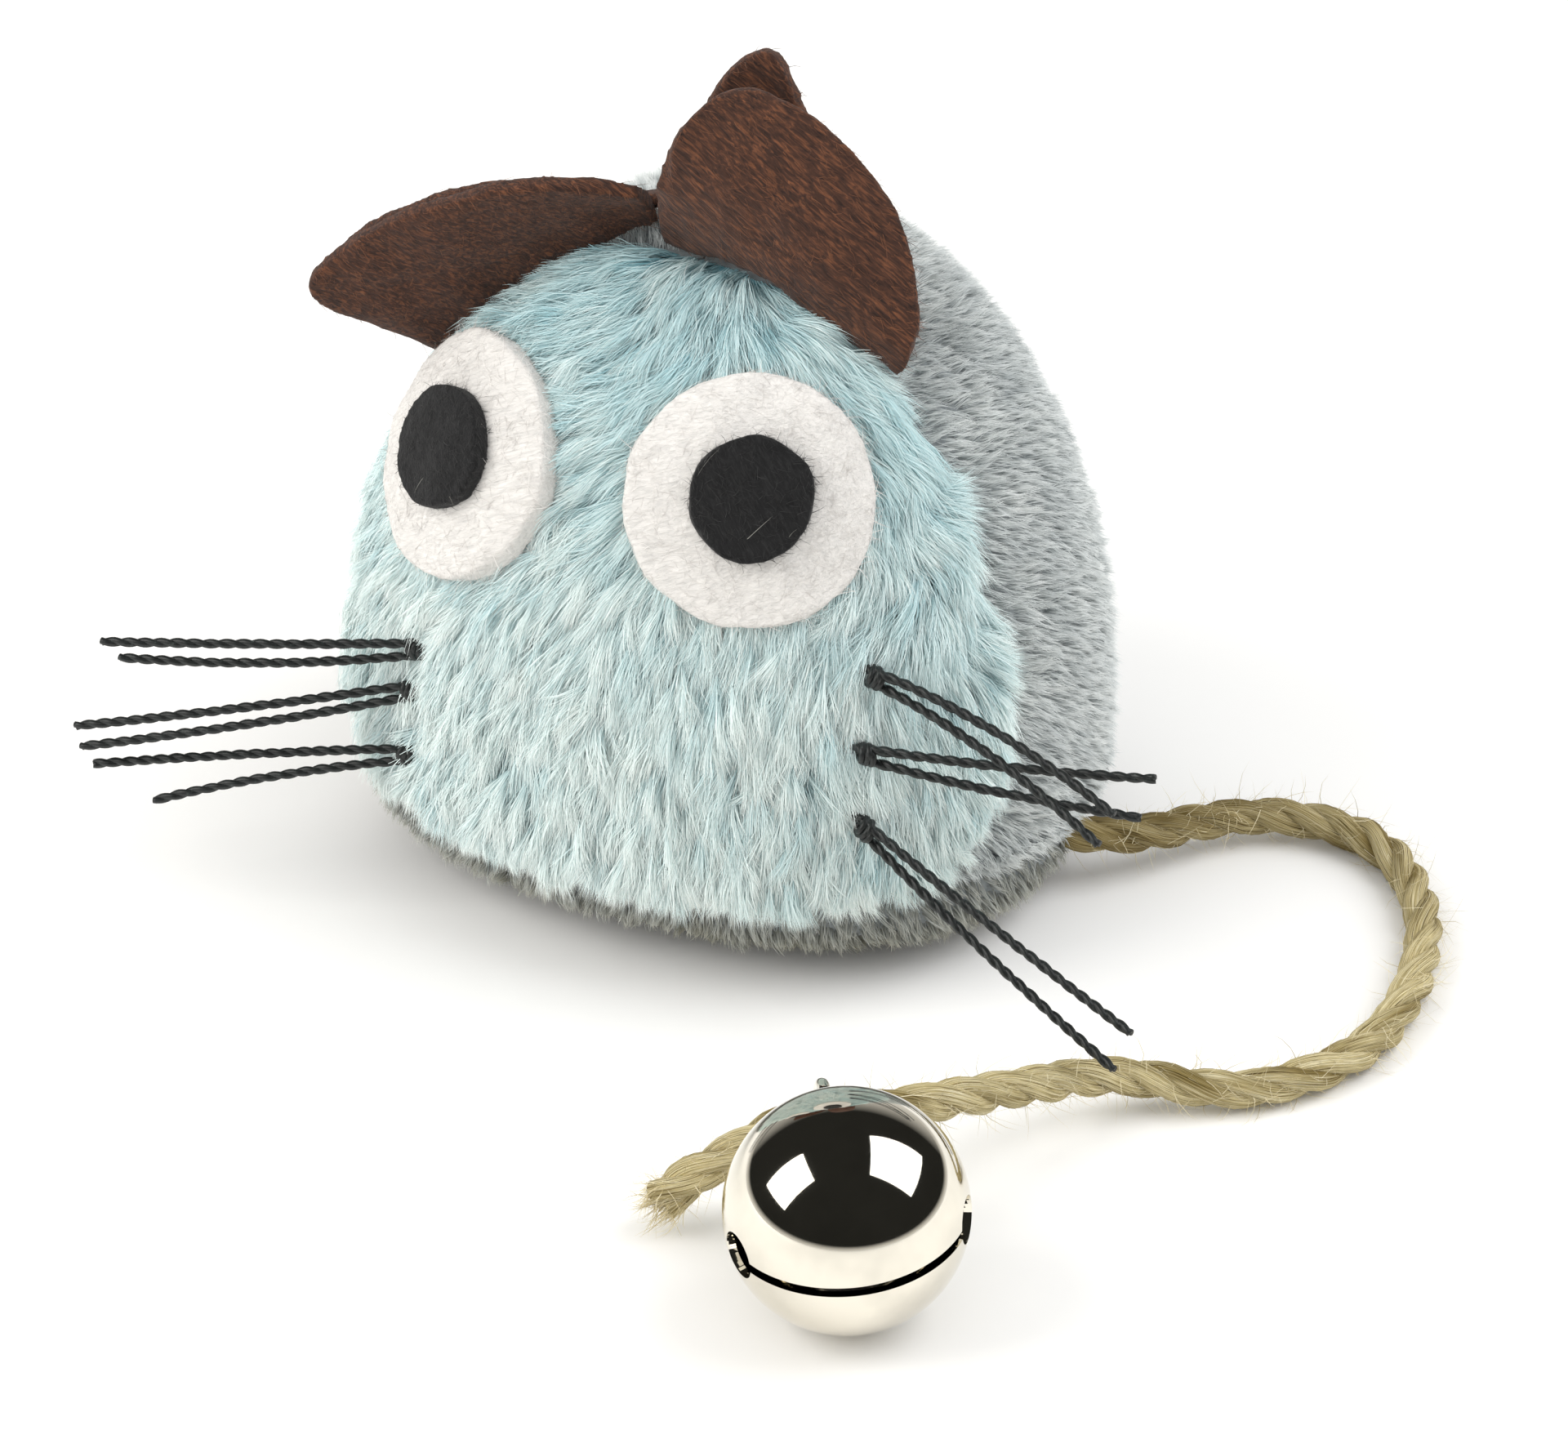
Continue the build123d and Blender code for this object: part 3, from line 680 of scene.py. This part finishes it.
def fuzz(name, surface, count, length, width, lean, grain, spread, finish, seed, region=None):
    """Loose fibres over a piece: most lie along its grain and some stand off it."""
    draw = np.random.default_rng(seed)
    triangles = corners_of(surface.data)
    if region is not None:
        triangles = triangles[region(triangles.mean(1))]
    feet, normals = scattered(triangles, count, draw)
    direction = laid(np.tile(np.array(grain, float), (count, 1)) + 0.01 * normals, normals)
    direction = turned_in_plane(direction, normals, draw.normal(0, spread, count))
    bend = draw.normal(0, 0.9, count)
    reach = length * draw.uniform(0.4, 1.6, count)
    lift = np.radians(lean) * draw.exponential(1.0, count)
    steps = 3
    lines = np.empty((count, steps + 1, 3))
    lines[:, 0] = feet - normals * 0.04 * MM
    for step in range(steps):
        heading = turned_in_plane(direction, normals, bend * step / steps)
        angle = np.clip(lift * (1 - 0.45 * step), -0.25, 1.3)[:, None]
        lines[:, step + 1] = lines[:, step] + reach[:, None] / steps * (
            heading * np.cos(angle) + normals * np.sin(angle)
        )
    lines[:, :, 2] = np.maximum(lines[:, :, 2], FLOOR_GAP)
    sides = unit(np.cross(normals, direction) + 0.4 * draw.normal(size=(count, 3)))
    return ribbons(name, lines, sides, width * draw.uniform(0.7, 1.3, count), draw.random(count), finish)


# ======================================================================== plush body


def face_lay(feet):
    """The brushed direction at each root, a blend of the strokes nearest to it."""
    middles = np.array([(x * HALF_WIDTH, z * HEIGHT) for (x, z), _ in FACE_STROKES])
    ways = unit(np.array([way for _, way in FACE_STROKES], float))
    gaps = ((feet[:, None, [0, 2]] - middles[None]) ** 2).sum(2)
    weights = 1 / (gaps + (0.35 * STROKE_REACH) ** 2) ** 1.6
    return (weights[:, :, None] * ways[None]).sum(1)


def face_tone(feet):
    """Deeper on the forehead and right beside the left eye, paler over the cheeks and chin."""
    high = np.clip((feet[:, 2] / HEIGHT - 0.5) / 0.45, 0, 1)
    left = np.clip(feet[:, 0] / HALF_WIDTH, 0, 1)
    return 0.95 - 0.42 * high - 0.06 * left


def back_lay(feet):
    """Backwards and down over the sides, straight down at the back."""
    ways = np.empty_like(feet)
    behind = np.clip(feet[:, 1] / (0.5 * HALF_WIDTH), 0, 1)
    ways[:, 0] = 0.1 * np.sign(feet[:, 0])
    ways[:, 1] = 0.8 - 0.55 * behind
    ways[:, 2] = -0.65 - 0.35 * behind
    return ways


def back_tone(feet):
    low = np.clip(1 - feet[:, 2] / (0.3 * HEIGHT), 0, 1)
    cloud = np.array([noise.noise(Vector(p) / (5.0 * MM)) for p in feet])
    return 0.66 - 0.22 * low + 0.32 * cloud


def belly_lay(feet):
    ways = np.empty_like(feet)
    ways[:, 0] = 0.25 * feet[:, 0] / HALF_WIDTH
    ways[:, 1] = 0.35
    ways[:, 2] = -1.0
    return ways


def belly_tone(feet):
    return 0.12 + 0.75 * np.clip(feet[:, 2] / (0.12 * HEIGHT), 0, 1)


def make_plush():
    pieces = {
        "face_panel": ("face_skin", FACE_PILE, FACE_BACKING, "blue_plush"),
        "back_panel_left": ("back_skin_left", GREY_PILE, GREY_BACKING, "grey_plush"),
        "back_panel_right": ("back_skin_right", GREY_PILE, GREY_BACKING, "grey_plush"),
        "belly_panel": ("belly_skin", GREY_PILE, GREY_BACKING, "grey_plush"),
    }
    for panel, (name, depth, finish, slot) in pieces.items():
        made = shown(backing(panel, depth, 0.8 * MM), name, finish)
        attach(made, "body")
        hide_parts(panel)
    face = brushed_pile(
        "face_pile", "face_panel", 176000, 5, FACE_PILE, 5.2 * MM, 0.085 * MM, (52, 26, 6),
        face_lay, face_tone, (42, 420), FACE_FUR, 11,
    )
    left = brushed_pile(
        "back_pile_left", "back_panel_left", 64000, 1, GREY_PILE, 1.75 * MM, 0.1 * MM, (74, 46),
        back_lay, back_tone, (12, 170), GREY_FUR, 12,
    )
    right = brushed_pile(
        "back_pile_right", "back_panel_right", 64000, 1, GREY_PILE, 1.75 * MM, 0.1 * MM, (74, 46),
        back_lay, back_tone, (12, 170), GREY_FUR, 13,
    )
    belly = brushed_pile(
        "belly_pile", "belly_panel", 32000, 1, GREY_PILE, 1.9 * MM, 0.13 * MM, (62, 30),
        belly_lay, belly_tone, (12, 170), BELLY_FUR, 14,
    )
    for made, slot in [(piece, "blue_plush") for piece in face] + [(p, "grey_plush") for p in left + right + belly]:
        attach(made, "body")


def make_wadding():
    """Fibre fill, lumpy and a little slack inside the skin."""
    mesh = evened("stuffing", 1.2 * MM, 3)
    places = positions(mesh)
    inward = unit(np.array(BODY_MIDDLE) - places)
    lumps = np.array([noise.fractal(Vector(p) / (7 * MM), 0.8, 2.0, 4) for p in places])
    move_to(mesh, places + inward * ((0.9 + 0.6 * np.clip(lumps, -1, 1)) * MM)[:, None])
    made = shown(mesh, "stuffing_fill", WADDING)
    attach(made, "body")
    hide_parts("stuffing")


# ======================================================================== felt


def felt(node, name, voxel, wander, finish, body):
    """A piece of felt: the frame's piece with a hand-cut edge and a matted surface."""
    mesh = evened(node, voxel, 4)
    places = positions(mesh)
    cut = np.array([noise.noise_vector(Vector(p) / (3.6 * MM)) for p in places])
    matted = np.array([noise.noise_vector(Vector(p) / (0.7 * MM)) for p in places])
    move_to(mesh, places + wander * cut + 0.06 * MM * matted)
    made = shown(mesh, name, finish)
    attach(made, body)
    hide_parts(node)
    return made


def make_eyes():
    for side in ("left", "right"):
        white = felt(
            f"eye_white_{side}", f"eye_{side}_white_felt", 0.27 * MM, 0.32 * MM, EYE_FELT, "body"
        )
        pupil = felt(
            f"pupil_{side}", f"eye_{side}_pupil_felt", 0.18 * MM, 0.26 * MM, PUPIL_FELT, "body"
        )
        white_lint = fuzz(
            f"eye_{side}_white_lint", white, 4200, 1.5 * MM, 0.045 * MM, 5, (1, 0, 0.3), 1.2, EYE_LINT, 21
        )
        pupil_lint = fuzz(
            f"eye_{side}_pupil_lint", pupil, 1700, 0.9 * MM, 0.045 * MM, 7, (1, 0, 0.6), 1.4, PUPIL_LINT, 22
        )
        strays = fuzz(
            f"eye_{side}_stray_lint", pupil, 7, 3.4 * MM, 0.035 * MM, 3, (0.4, 0, 1), 1.0, STRAY_LINT,
            23 if side == "left" else 29,
        )
        for lint, slot in ((white_lint, "white_felt"), (pupil_lint, "black_felt"), (strays, "white_felt")):
            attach(lint, "body")


def draw_down(mesh, reach, drop):
    """Pulls an ear leaf's foot down into the seam that it is sewn in."""
    places = positions(mesh)
    foot, outward, _ = nearest_on(OUTER_TREE, places)
    gap = ((places - foot) * outward).sum(1)
    move_to(mesh, places - outward * (drop * eased((gap - 1.0 * MM) / reach))[:, None])


def lay_down(mesh, inner_end, reach, kept):
    """Brings an ear leaf down towards the crown near its inner end, where it is sewn flat."""
    places = positions(mesh)
    foot, outward, _ = nearest_on(OUTER_TREE, places)
    gap = np.maximum(((places - foot) * outward).sum(1) - 0.6 * MM, 0)
    flattened = eased(np.abs(places[:, 0] - inner_end) / reach)
    move_to(mesh, places - outward * (gap * flattened * (1 - kept))[:, None])


def make_ears():
    for side in ("left", "right"):
        for leaf in ("front", "back"):
            node = f"ear_{side}_{leaf}"
            body = f"ear_{side}"
            made = felt(node, node + "_felt", 0.29 * MM, 0.35 * MM, EAR_FELT, body)
            draw_down(made.data, 2.2 * MM, 2.0 * MM)
            if node == "ear_right_back":
                lay_down(made.data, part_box(node)[1].x, 15 * MM, 0.3)
            lint = fuzz(
                node + "_lint", made, 3400, 1.1 * MM, 0.04 * MM, 4, (1, 0.3, -0.7), 0.5, EAR_LINT,
                31 if leaf == "front" else 32,
            )
            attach(lint, body)


# ======================================================================== rope and thread


def smooth_line(points):
    """The line of one smooth spline that these points steer."""
    curve = bpy.data.curves.new("route", "CURVE")
    curve.dimensions = "3D"
    spline = curve.splines.new("NURBS")
    spline.points.add(len(points) - 1)
    for place, point in zip(spline.points, points):
        place.co = (*point, 1.0)
    spline.order_u = 3
    spline.use_endpoint_u = True
    spline.resolution_u = 40
    route = bpy.data.objects.new("route", curve)
    bpy.context.scene.collection.objects.link(route)
    mesh = finished_mesh(route)
    line = positions(mesh)
    bpy.data.meshes.remove(mesh)
    return line


def evenly(line, spacing):
    """Points at even distances along a line."""
    runs = np.linalg.norm(np.diff(line, axis=0), axis=1)
    reached = np.concatenate([[0], np.cumsum(runs)])
    wanted = np.linspace(0, reached[-1], max(int(reached[-1] / spacing) + 1, 4))
    return np.stack([np.interp(wanted, reached, line[:, axis]) for axis in range(3)], 1), wanted


def carried_frames(line):
    """Two directions across the line at each point, carried along it without spinning."""
    ahead = unit(np.gradient(line, axis=0))
    start = np.cross(ahead[0], (0.0, 0.0, 1.0))
    across = [unit(start if np.linalg.norm(start) > 0.1 else np.cross(ahead[0], (1.0, 0.0, 0.0)))]
    for way in ahead[1:]:
        previous = across[-1]
        across.append(unit(previous - way * (previous @ way)))
    across = np.array(across)
    return across, np.cross(ahead, across), ahead


def laid_strands(name, line, distances, strands, offset, thickness, lay, finish, sides=6, flare=0.0, uneven=0.0):
    """Strands twisted together round a line, as one mesh with a strand map."""
    across, over, _ = carried_frames(line)
    curve = bpy.data.curves.new(name, "CURVE")
    curve.dimensions = "3D"
    curve.bevel_depth = thickness / 2
    curve.bevel_resolution = sides
    total = distances[-1]
    widen = 1 + flare * np.clip(1 - (total - distances) / (6 * MM), 0, 1) ** 2
    for strand in range(strands):
        turns = 2 * pi * (distances / lay + strand / strands)
        around = across * np.cos(turns)[:, None] + over * np.sin(turns)[:, None]
        places = line + around * (offset * widen)[:, None]
        spline = curve.splines.new("POLY")
        spline.points.add(len(places) - 1)
        spline.points.foreach_set("co", np.column_stack([places, np.ones(len(places))]).astype(np.float32).ravel())
        swell = [
            1 + uneven * noise.noise(Vector((d / (2.2 * MM), 7.3 * strand, 0))) + 0.5 * flare * (w - 1)
            for d, w in zip(distances, widen)
        ]
        spline.points.foreach_set("radius", np.array(swell, np.float32))
    obj = bpy.data.objects.new(name, curve)
    bpy.context.scene.collection.objects.link(obj)
    mesh = finished_mesh(obj)
    ring = len(mesh.vertices) // (strands * len(line))
    stations = len(line)
    indices = np.empty(len(mesh.loops), np.int32)
    mesh.loops.foreach_get("vertex_index", indices)
    at_ring = indices % ring
    along = (indices // ring % stations) / (stations - 1)
    of_strand = indices // (ring * stations)
    totals = np.empty(len(mesh.polygons), np.int32)
    mesh.polygons.foreach_get("loop_total", totals)
    lows = np.minimum.reduceat(at_ring, np.concatenate([[0], np.cumsum(totals)[:-1]]))
    highs = np.maximum.reduceat(at_ring, np.concatenate([[0], np.cumsum(totals)[:-1]]))
    wraps = np.repeat((lows == 0) & (highs == ring - 1), totals)
    around = np.where(wraps & (at_ring == 0), ring, at_ring) / ring
    layer = mesh.uv_layers.get(STRAND_MAP) or mesh.uv_layers.new(name=STRAND_MAP)
    for other in [each for each in mesh.uv_layers if each.name != STRAND_MAP]:
        mesh.uv_layers.remove(other)
    layer = mesh.uv_layers[STRAND_MAP]
    places = np.column_stack([0.01 + 0.98 * along, (of_strand + 0.02 + 0.96 * around) / strands])
    layer.data.foreach_set("uv", places.astype(np.float32).ravel())
    shape = bmesh.new()
    shape.from_mesh(mesh)
    bmesh.ops.holes_fill(shape, edges=[e for e in shape.edges if e.is_boundary], sides=0)
    shape.to_mesh(mesh)
    shape.free()
    return shown(mesh, name, finish)


def roughen(mesh, size, height):
    """Small ridges over a mesh."""
    places = positions(mesh)
    outward = np.empty(len(mesh.vertices) * 3)
    mesh.vertices.foreach_get("normal", outward)
    bumps = np.array([noise.noise(Vector(p) / size) for p in places])
    move_to(mesh, places + outward.reshape(-1, 3) * (height * bumps)[:, None])


def make_tail():
    line, distances = evenly(smooth_line([TAIL_ROOT, *TAIL_ROUTE]), 0.28 * MM)
    rope = laid_strands(
        "tail_rope_strands", line, distances, 3, 0.68 * MM, 1.68 * MM, ROPE_LAY, JUTE,
        sides=6, flare=0.3, uneven=0.12,
    )
    roughen(rope.data, 0.55 * MM, 0.07 * MM)
    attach(rope, "tail")
    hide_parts("tail_rope")
    lint = fuzz("tail_rope_lint", rope, 2200, 2.6 * MM, 0.05 * MM, 3.5, (1, 0.2, 0.1), 1.3, JUTE_LINT, 41)
    frayed = fuzz(
        "tail_end_lint", rope, 520, 2.2 * MM, 0.07 * MM, 10, tuple(line[-1] - line[-8]), 0.35, JUTE_LINT, 42,
        region=lambda middles: np.linalg.norm(middles - line[-1], axis=1) < 2.2 * MM,
    )
    for piece in (lint, frayed):
        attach(piece, "tail")
    low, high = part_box("tail_knot")
    radius = (high.y - low.y) / 2
    middle = Vector((low.x + radius, (low.y + high.y) / 2, high.z - radius))
    turns = [
        middle + Vector((0.75 * sin(4 * pi * t), cos(4 * pi * t), 0.7 * sin(6 * pi * t))) * (0.62 * radius)
        for t in np.linspace(0, 1, 26)
    ]
    knot_line, knot_distances = evenly(smooth_line([TAIL_ROOT, *turns]), 0.3 * MM)
    knot = laid_strands(
        "tail_stopper_knot", knot_line, knot_distances, 3, 0.45 * MM, 1.0 * MM, ROPE_LAY, JUTE, sides=4
    )
    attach(knot, "body")
    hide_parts("tail_knot")


def make_whiskers():
    for name, (root, *strands) in WHISKERS.items():
        place, out = front_point(*root)
        sunk = RIGHT_ROOT_DEPTH if name.startswith("right") else 0
        middle = place + out * (KNOT_RADIUS - sunk)
        parts = []
        for side, (bend, tip) in zip((1, -1), strands):
            start = middle + Vector((0, 0, side * STRAND_SPACING / 2))
            route = [start, start + Vector(bend) * MM, start + Vector(tip) * MM]
            line, distances = evenly(smooth_line(route), 0.2 * MM)
            parts.append(
                laid_strands("ply", line, distances, 2, PLY_OFFSET, PLY, PLY_LAY, WAXED, sides=2, uneven=0.15)
            )
        # The knot: the thread wound twice round itself, then its stitch into the cloth.
        way = Vector(strands[0][0]).normalized()
        flat = out.cross(way).normalized()
        turns = [
            middle + way * ((0.9 * t - 0.3) * MM)
            + (flat * cos(5 * pi * t) + out * sin(5 * pi * t)) * (0.62 * MM)
            for t in np.linspace(0, 1, 22)
        ]
        stitch = [middle - way * 1.0 * MM, middle - way * 1.5 * MM - out * 1.0 * MM]
        line, distances = evenly(smooth_line(turns), 0.16 * MM)
        parts.append(laid_strands("ply", line, distances, 2, PLY_OFFSET, PLY, PLY_LAY, WAXED, sides=2))
        line, distances = evenly(smooth_line([turns[0], *stitch]), 0.16 * MM)
        parts.append(laid_strands("ply", line, distances, 2, PLY_OFFSET, PLY, PLY_LAY, WAXED, sides=2))
        made = joined(parts, f"whisker_{name}_thread")
        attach(made, "body")
        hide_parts(f"whisker_{name}")


def joined(parts, name):
    """Several pieces as one."""
    shape = bmesh.new()
    for part in parts:
        shape.from_mesh(part.data)
    mesh = parts[0].data
    shape.to_mesh(mesh)
    shape.free()
    for part in parts[1:]:
        bpy.data.objects.remove(part)
    parts[0].name = mesh.name = name
    return parts[0]


# ======================================================================== bell


def bell_axes():
    """The bell's middle and its axes: X along the slot, Z towards the mouth."""
    start, end = TAIL_ROUTE[BELL_RUN : BELL_RUN + 2]
    along = (end - start).normalized()
    level = Vector((-along.y, along.x, 0)).normalized()
    mouth = (level * cos(BELL_DROOP) - Vector((0, 0, sin(BELL_DROOP)))).normalized()
    across = (along.cross(mouth).cross(mouth) * -1).normalized()
    across = Matrix.Rotation(BELL_ROLL, 3, mouth) @ across
    turn = Matrix((across, mouth.cross(across), mouth)).transposed()
    return (start + end) / 2 + mouth * BELL_REACH, turn


def make_bell():
    """A sphere with a slot that ends in two round holes, as a thin plated shell."""
    shape = bmesh.new()
    bmesh.ops.create_uvsphere(shape, u_segments=160, v_segments=80, radius=BELL_RADIUS)
    hole_depth = (BELL_RADIUS**2 - SLOT_HOLE_RADIUS**2) ** 0.5
    holes = [Vector((side * sin(SLOT_HALF_ANGLE), 0, cos(SLOT_HALF_ANGLE))) for side in (-1, 1)]
    cuts = [(Vector((0, side * SLOT_WIDTH / 2, 0)), Vector((0, 1, 0))) for side in (-1, 1)]
    cuts += [(out * hole_depth, out) for out in holes]
    for place, way in cuts:
        geometry = shape.verts[:] + shape.edges[:] + shape.faces[:]
        bmesh.ops.bisect_plane(shape, geom=geometry, dist=0.001 * MM, plane_co=place, plane_no=way)
    for vert in shape.verts:
        vert.co = vert.co.normalized() * BELL_RADIUS
    gone = []
    for face in shape.faces:
        middle = face.calc_center_median()
        in_slot = abs(middle.y) < SLOT_WIDTH / 2 and middle.z > hole_depth * cos(SLOT_HALF_ANGLE)
        in_hole = any(middle.dot(out) > hole_depth for out in holes)
        if in_slot or in_hole:
            gone.append(face)
    bmesh.ops.delete(shape, geom=gone, context="FACES")
    bmesh.ops.solidify(shape, geom=shape.faces[:], thickness=BELL_WALL)
    bmesh.ops.recalc_face_normals(shape, faces=shape.faces)
    mesh = bpy.data.meshes.new("bell_shell_plated")
    shape.to_mesh(mesh)
    shape.free()
    made = shown(mesh, "bell_shell_plated", CHROME)
    middle, turn = bell_axes()
    move_to(mesh, positions(mesh) @ np.array(turn).T + np.array(middle))
    normals = np.empty((len(mesh.loops), 3))
    for face in mesh.polygons:
        away = (face.center - middle).length
        for index in face.loop_indices:
            place = mesh.vertices[mesh.loops[index].vertex_index].co - middle
            if away > BELL_RADIUS - 0.1 * MM:
                normals[index] = place.normalized()
            elif away < BELL_RADIUS - BELL_WALL + 0.05 * MM:
                normals[index] = -place.normalized()
            else:
                normals[index] = face.normal
    mesh.normals_split_custom_set(normals.tolist())
    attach(made, "bell")
    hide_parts("bell_shell")
    for node, finish in (("bell_loop", CHROME), ("bell_pellet", STEEL)):
        NODES[node].data.materials.clear()
        NODES[node].data.materials.append(finish)


# ======================================================================== stage, light and camera


def make_floor():
    shape = bmesh.new()
    bmesh.ops.create_grid(shape, x_segments=8, y_segments=8, size=2.5)
    mesh = bpy.data.meshes.new("floor")
    shape.to_mesh(mesh)
    shape.free()
    shown(mesh, "floor", FLOOR)


def softbox(name, middle, way, distance, width, height, power, tint):
    light = bpy.data.lights.new(name, "AREA")
    light.shape = "RECTANGLE"
    light.size, light.size_y = width, height
    light.energy = power
    light.color = tint
    lamp = bpy.data.objects.new(name, light)
    lamp.location = middle + way.normalized() * distance
    lamp.rotation_euler = way.to_track_quat("Z", "Y").to_euler()
    bpy.context.scene.collection.objects.link(lamp)


def make_light():
    bell_middle, _ = bell_axes()
    softbox("softbox_left", bell_middle, Vector((-0.66, -0.44, 0.61)), 0.62, 0.34, 0.42, 2.3, (1.0, 0.98, 0.95))
    softbox("softbox_right", bell_middle, Vector((0.58, 0.31, 0.75)), 0.6, 0.46, 0.48, 1.9, (0.97, 0.98, 1.0))
    world = bpy.data.worlds.new("studio")
    bpy.context.scene.world = world
    world.use_nodes = True
    nodes, links = world.node_tree.nodes, world.node_tree.links
    room = nodes["Background"]
    room.inputs["Color"].default_value = (1.0, 0.995, 0.985, 1)
    room.inputs["Strength"].default_value = 0.82
    mirrored = nodes.new("ShaderNodeBackground")
    ways = nodes.new("ShaderNodeTexCoord")
    split = nodes.new("ShaderNodeSeparateXYZ")
    links.new(ways.outputs["Generated"], split.inputs["Vector"])
    above = nodes.new("ShaderNodeMapRange")
    above.inputs["From Min"].default_value = 0.0
    above.inputs["From Max"].default_value = 0.06
    links.new(split.outputs["Z"], above.inputs["Value"])
    ahead = nodes.new("ShaderNodeVectorMath")
    ahead.operation = "DOT_PRODUCT"
    ahead.inputs[1].default_value = (0.41, -0.91, 0.25)
    links.new(ways.outputs["Generated"], ahead.inputs[0])
    front = nodes.new("ShaderNodeMapRange")
    front.inputs["From Min"].default_value = -0.93
    front.inputs["From Max"].default_value = -0.62
    links.new(ahead.outputs["Value"], front.inputs["Value"])
    dark = nodes.new("ShaderNodeMath")
    dark.operation = "MULTIPLY"
    links.new(above.outputs["Result"], dark.inputs[0])
    links.new(front.outputs["Result"], dark.inputs[1])
    tint = nodes.new("ShaderNodeMix")
    tint.data_type = "RGBA"
    tint.inputs[6].default_value = (0.72, 0.7, 0.66, 1)
    tint.inputs[7].default_value = (0.02, 0.02, 0.018, 1)
    links.new(dark.outputs["Value"], tint.inputs[0])
    links.new(tint.outputs[2], mirrored.inputs["Color"])
    path = nodes.new("ShaderNodeLightPath")
    either = nodes.new("ShaderNodeMixShader")
    links.new(path.outputs["Is Glossy Ray"], either.inputs["Fac"])
    links.new(room.outputs["Background"], either.inputs[1])
    links.new(mirrored.outputs["Background"], either.inputs[2])
    seen = nodes.new("ShaderNodeBackground")
    seen.inputs["Color"].default_value = (1, 1, 1, 1)
    final = nodes.new("ShaderNodeMixShader")
    links.new(path.outputs["Is Camera Ray"], final.inputs["Fac"])
    links.new(either.outputs["Shader"], final.inputs[1])
    links.new(seen.outputs["Background"], final.inputs[2])
    links.new(final.outputs["Shader"], nodes["World Output"].inputs["Surface"])


# The camera looks down from the mouse's front left. Its middle ray passes beside the body, so
# that the tail's loop is in view.
CAMERA_AZIMUTH = radians(24)
CAMERA_ELEVATION = radians(31)
CAMERA_DISTANCE = 560 * MM
CAMERA_LENS = 163.8
AIM_AT = Vector((0, 0, 26 * MM))
AIM_RIGHT = 58 / 8736  # turn to the right and down from the body's middle, as slopes
AIM_DOWN = 229 / 8736


def make_camera():
    back = Vector(
        (sin(CAMERA_AZIMUTH) * cos(CAMERA_ELEVATION), -cos(CAMERA_AZIMUTH) * cos(CAMERA_ELEVATION),
         sin(CAMERA_ELEVATION))
    )
    right = Vector((0, 0, 1)).cross(back).normalized()
    up = back.cross(right)
    data = bpy.data.cameras.new("camera")
    data.lens = CAMERA_LENS
    data.sensor_width = 36
    data.clip_start = 0.01
    camera = bpy.data.objects.new("camera", data)
    camera.location = AIM_AT + back * CAMERA_DISTANCE
    look = (-back + right * AIM_RIGHT - up * AIM_DOWN).normalized()
    camera.rotation_mode = "QUATERNION"
    camera.rotation_quaternion = look.to_track_quat("-Z", "Y")
    bpy.context.scene.collection.objects.link(camera)
    bpy.context.scene.camera = camera
    bpy.context.scene.view_settings.view_transform = "Standard"


make_camera()
make_tail()
make_plush()
make_wadding()
make_eyes()
make_ears()
make_whiskers()
make_bell()
make_floor()
make_light()
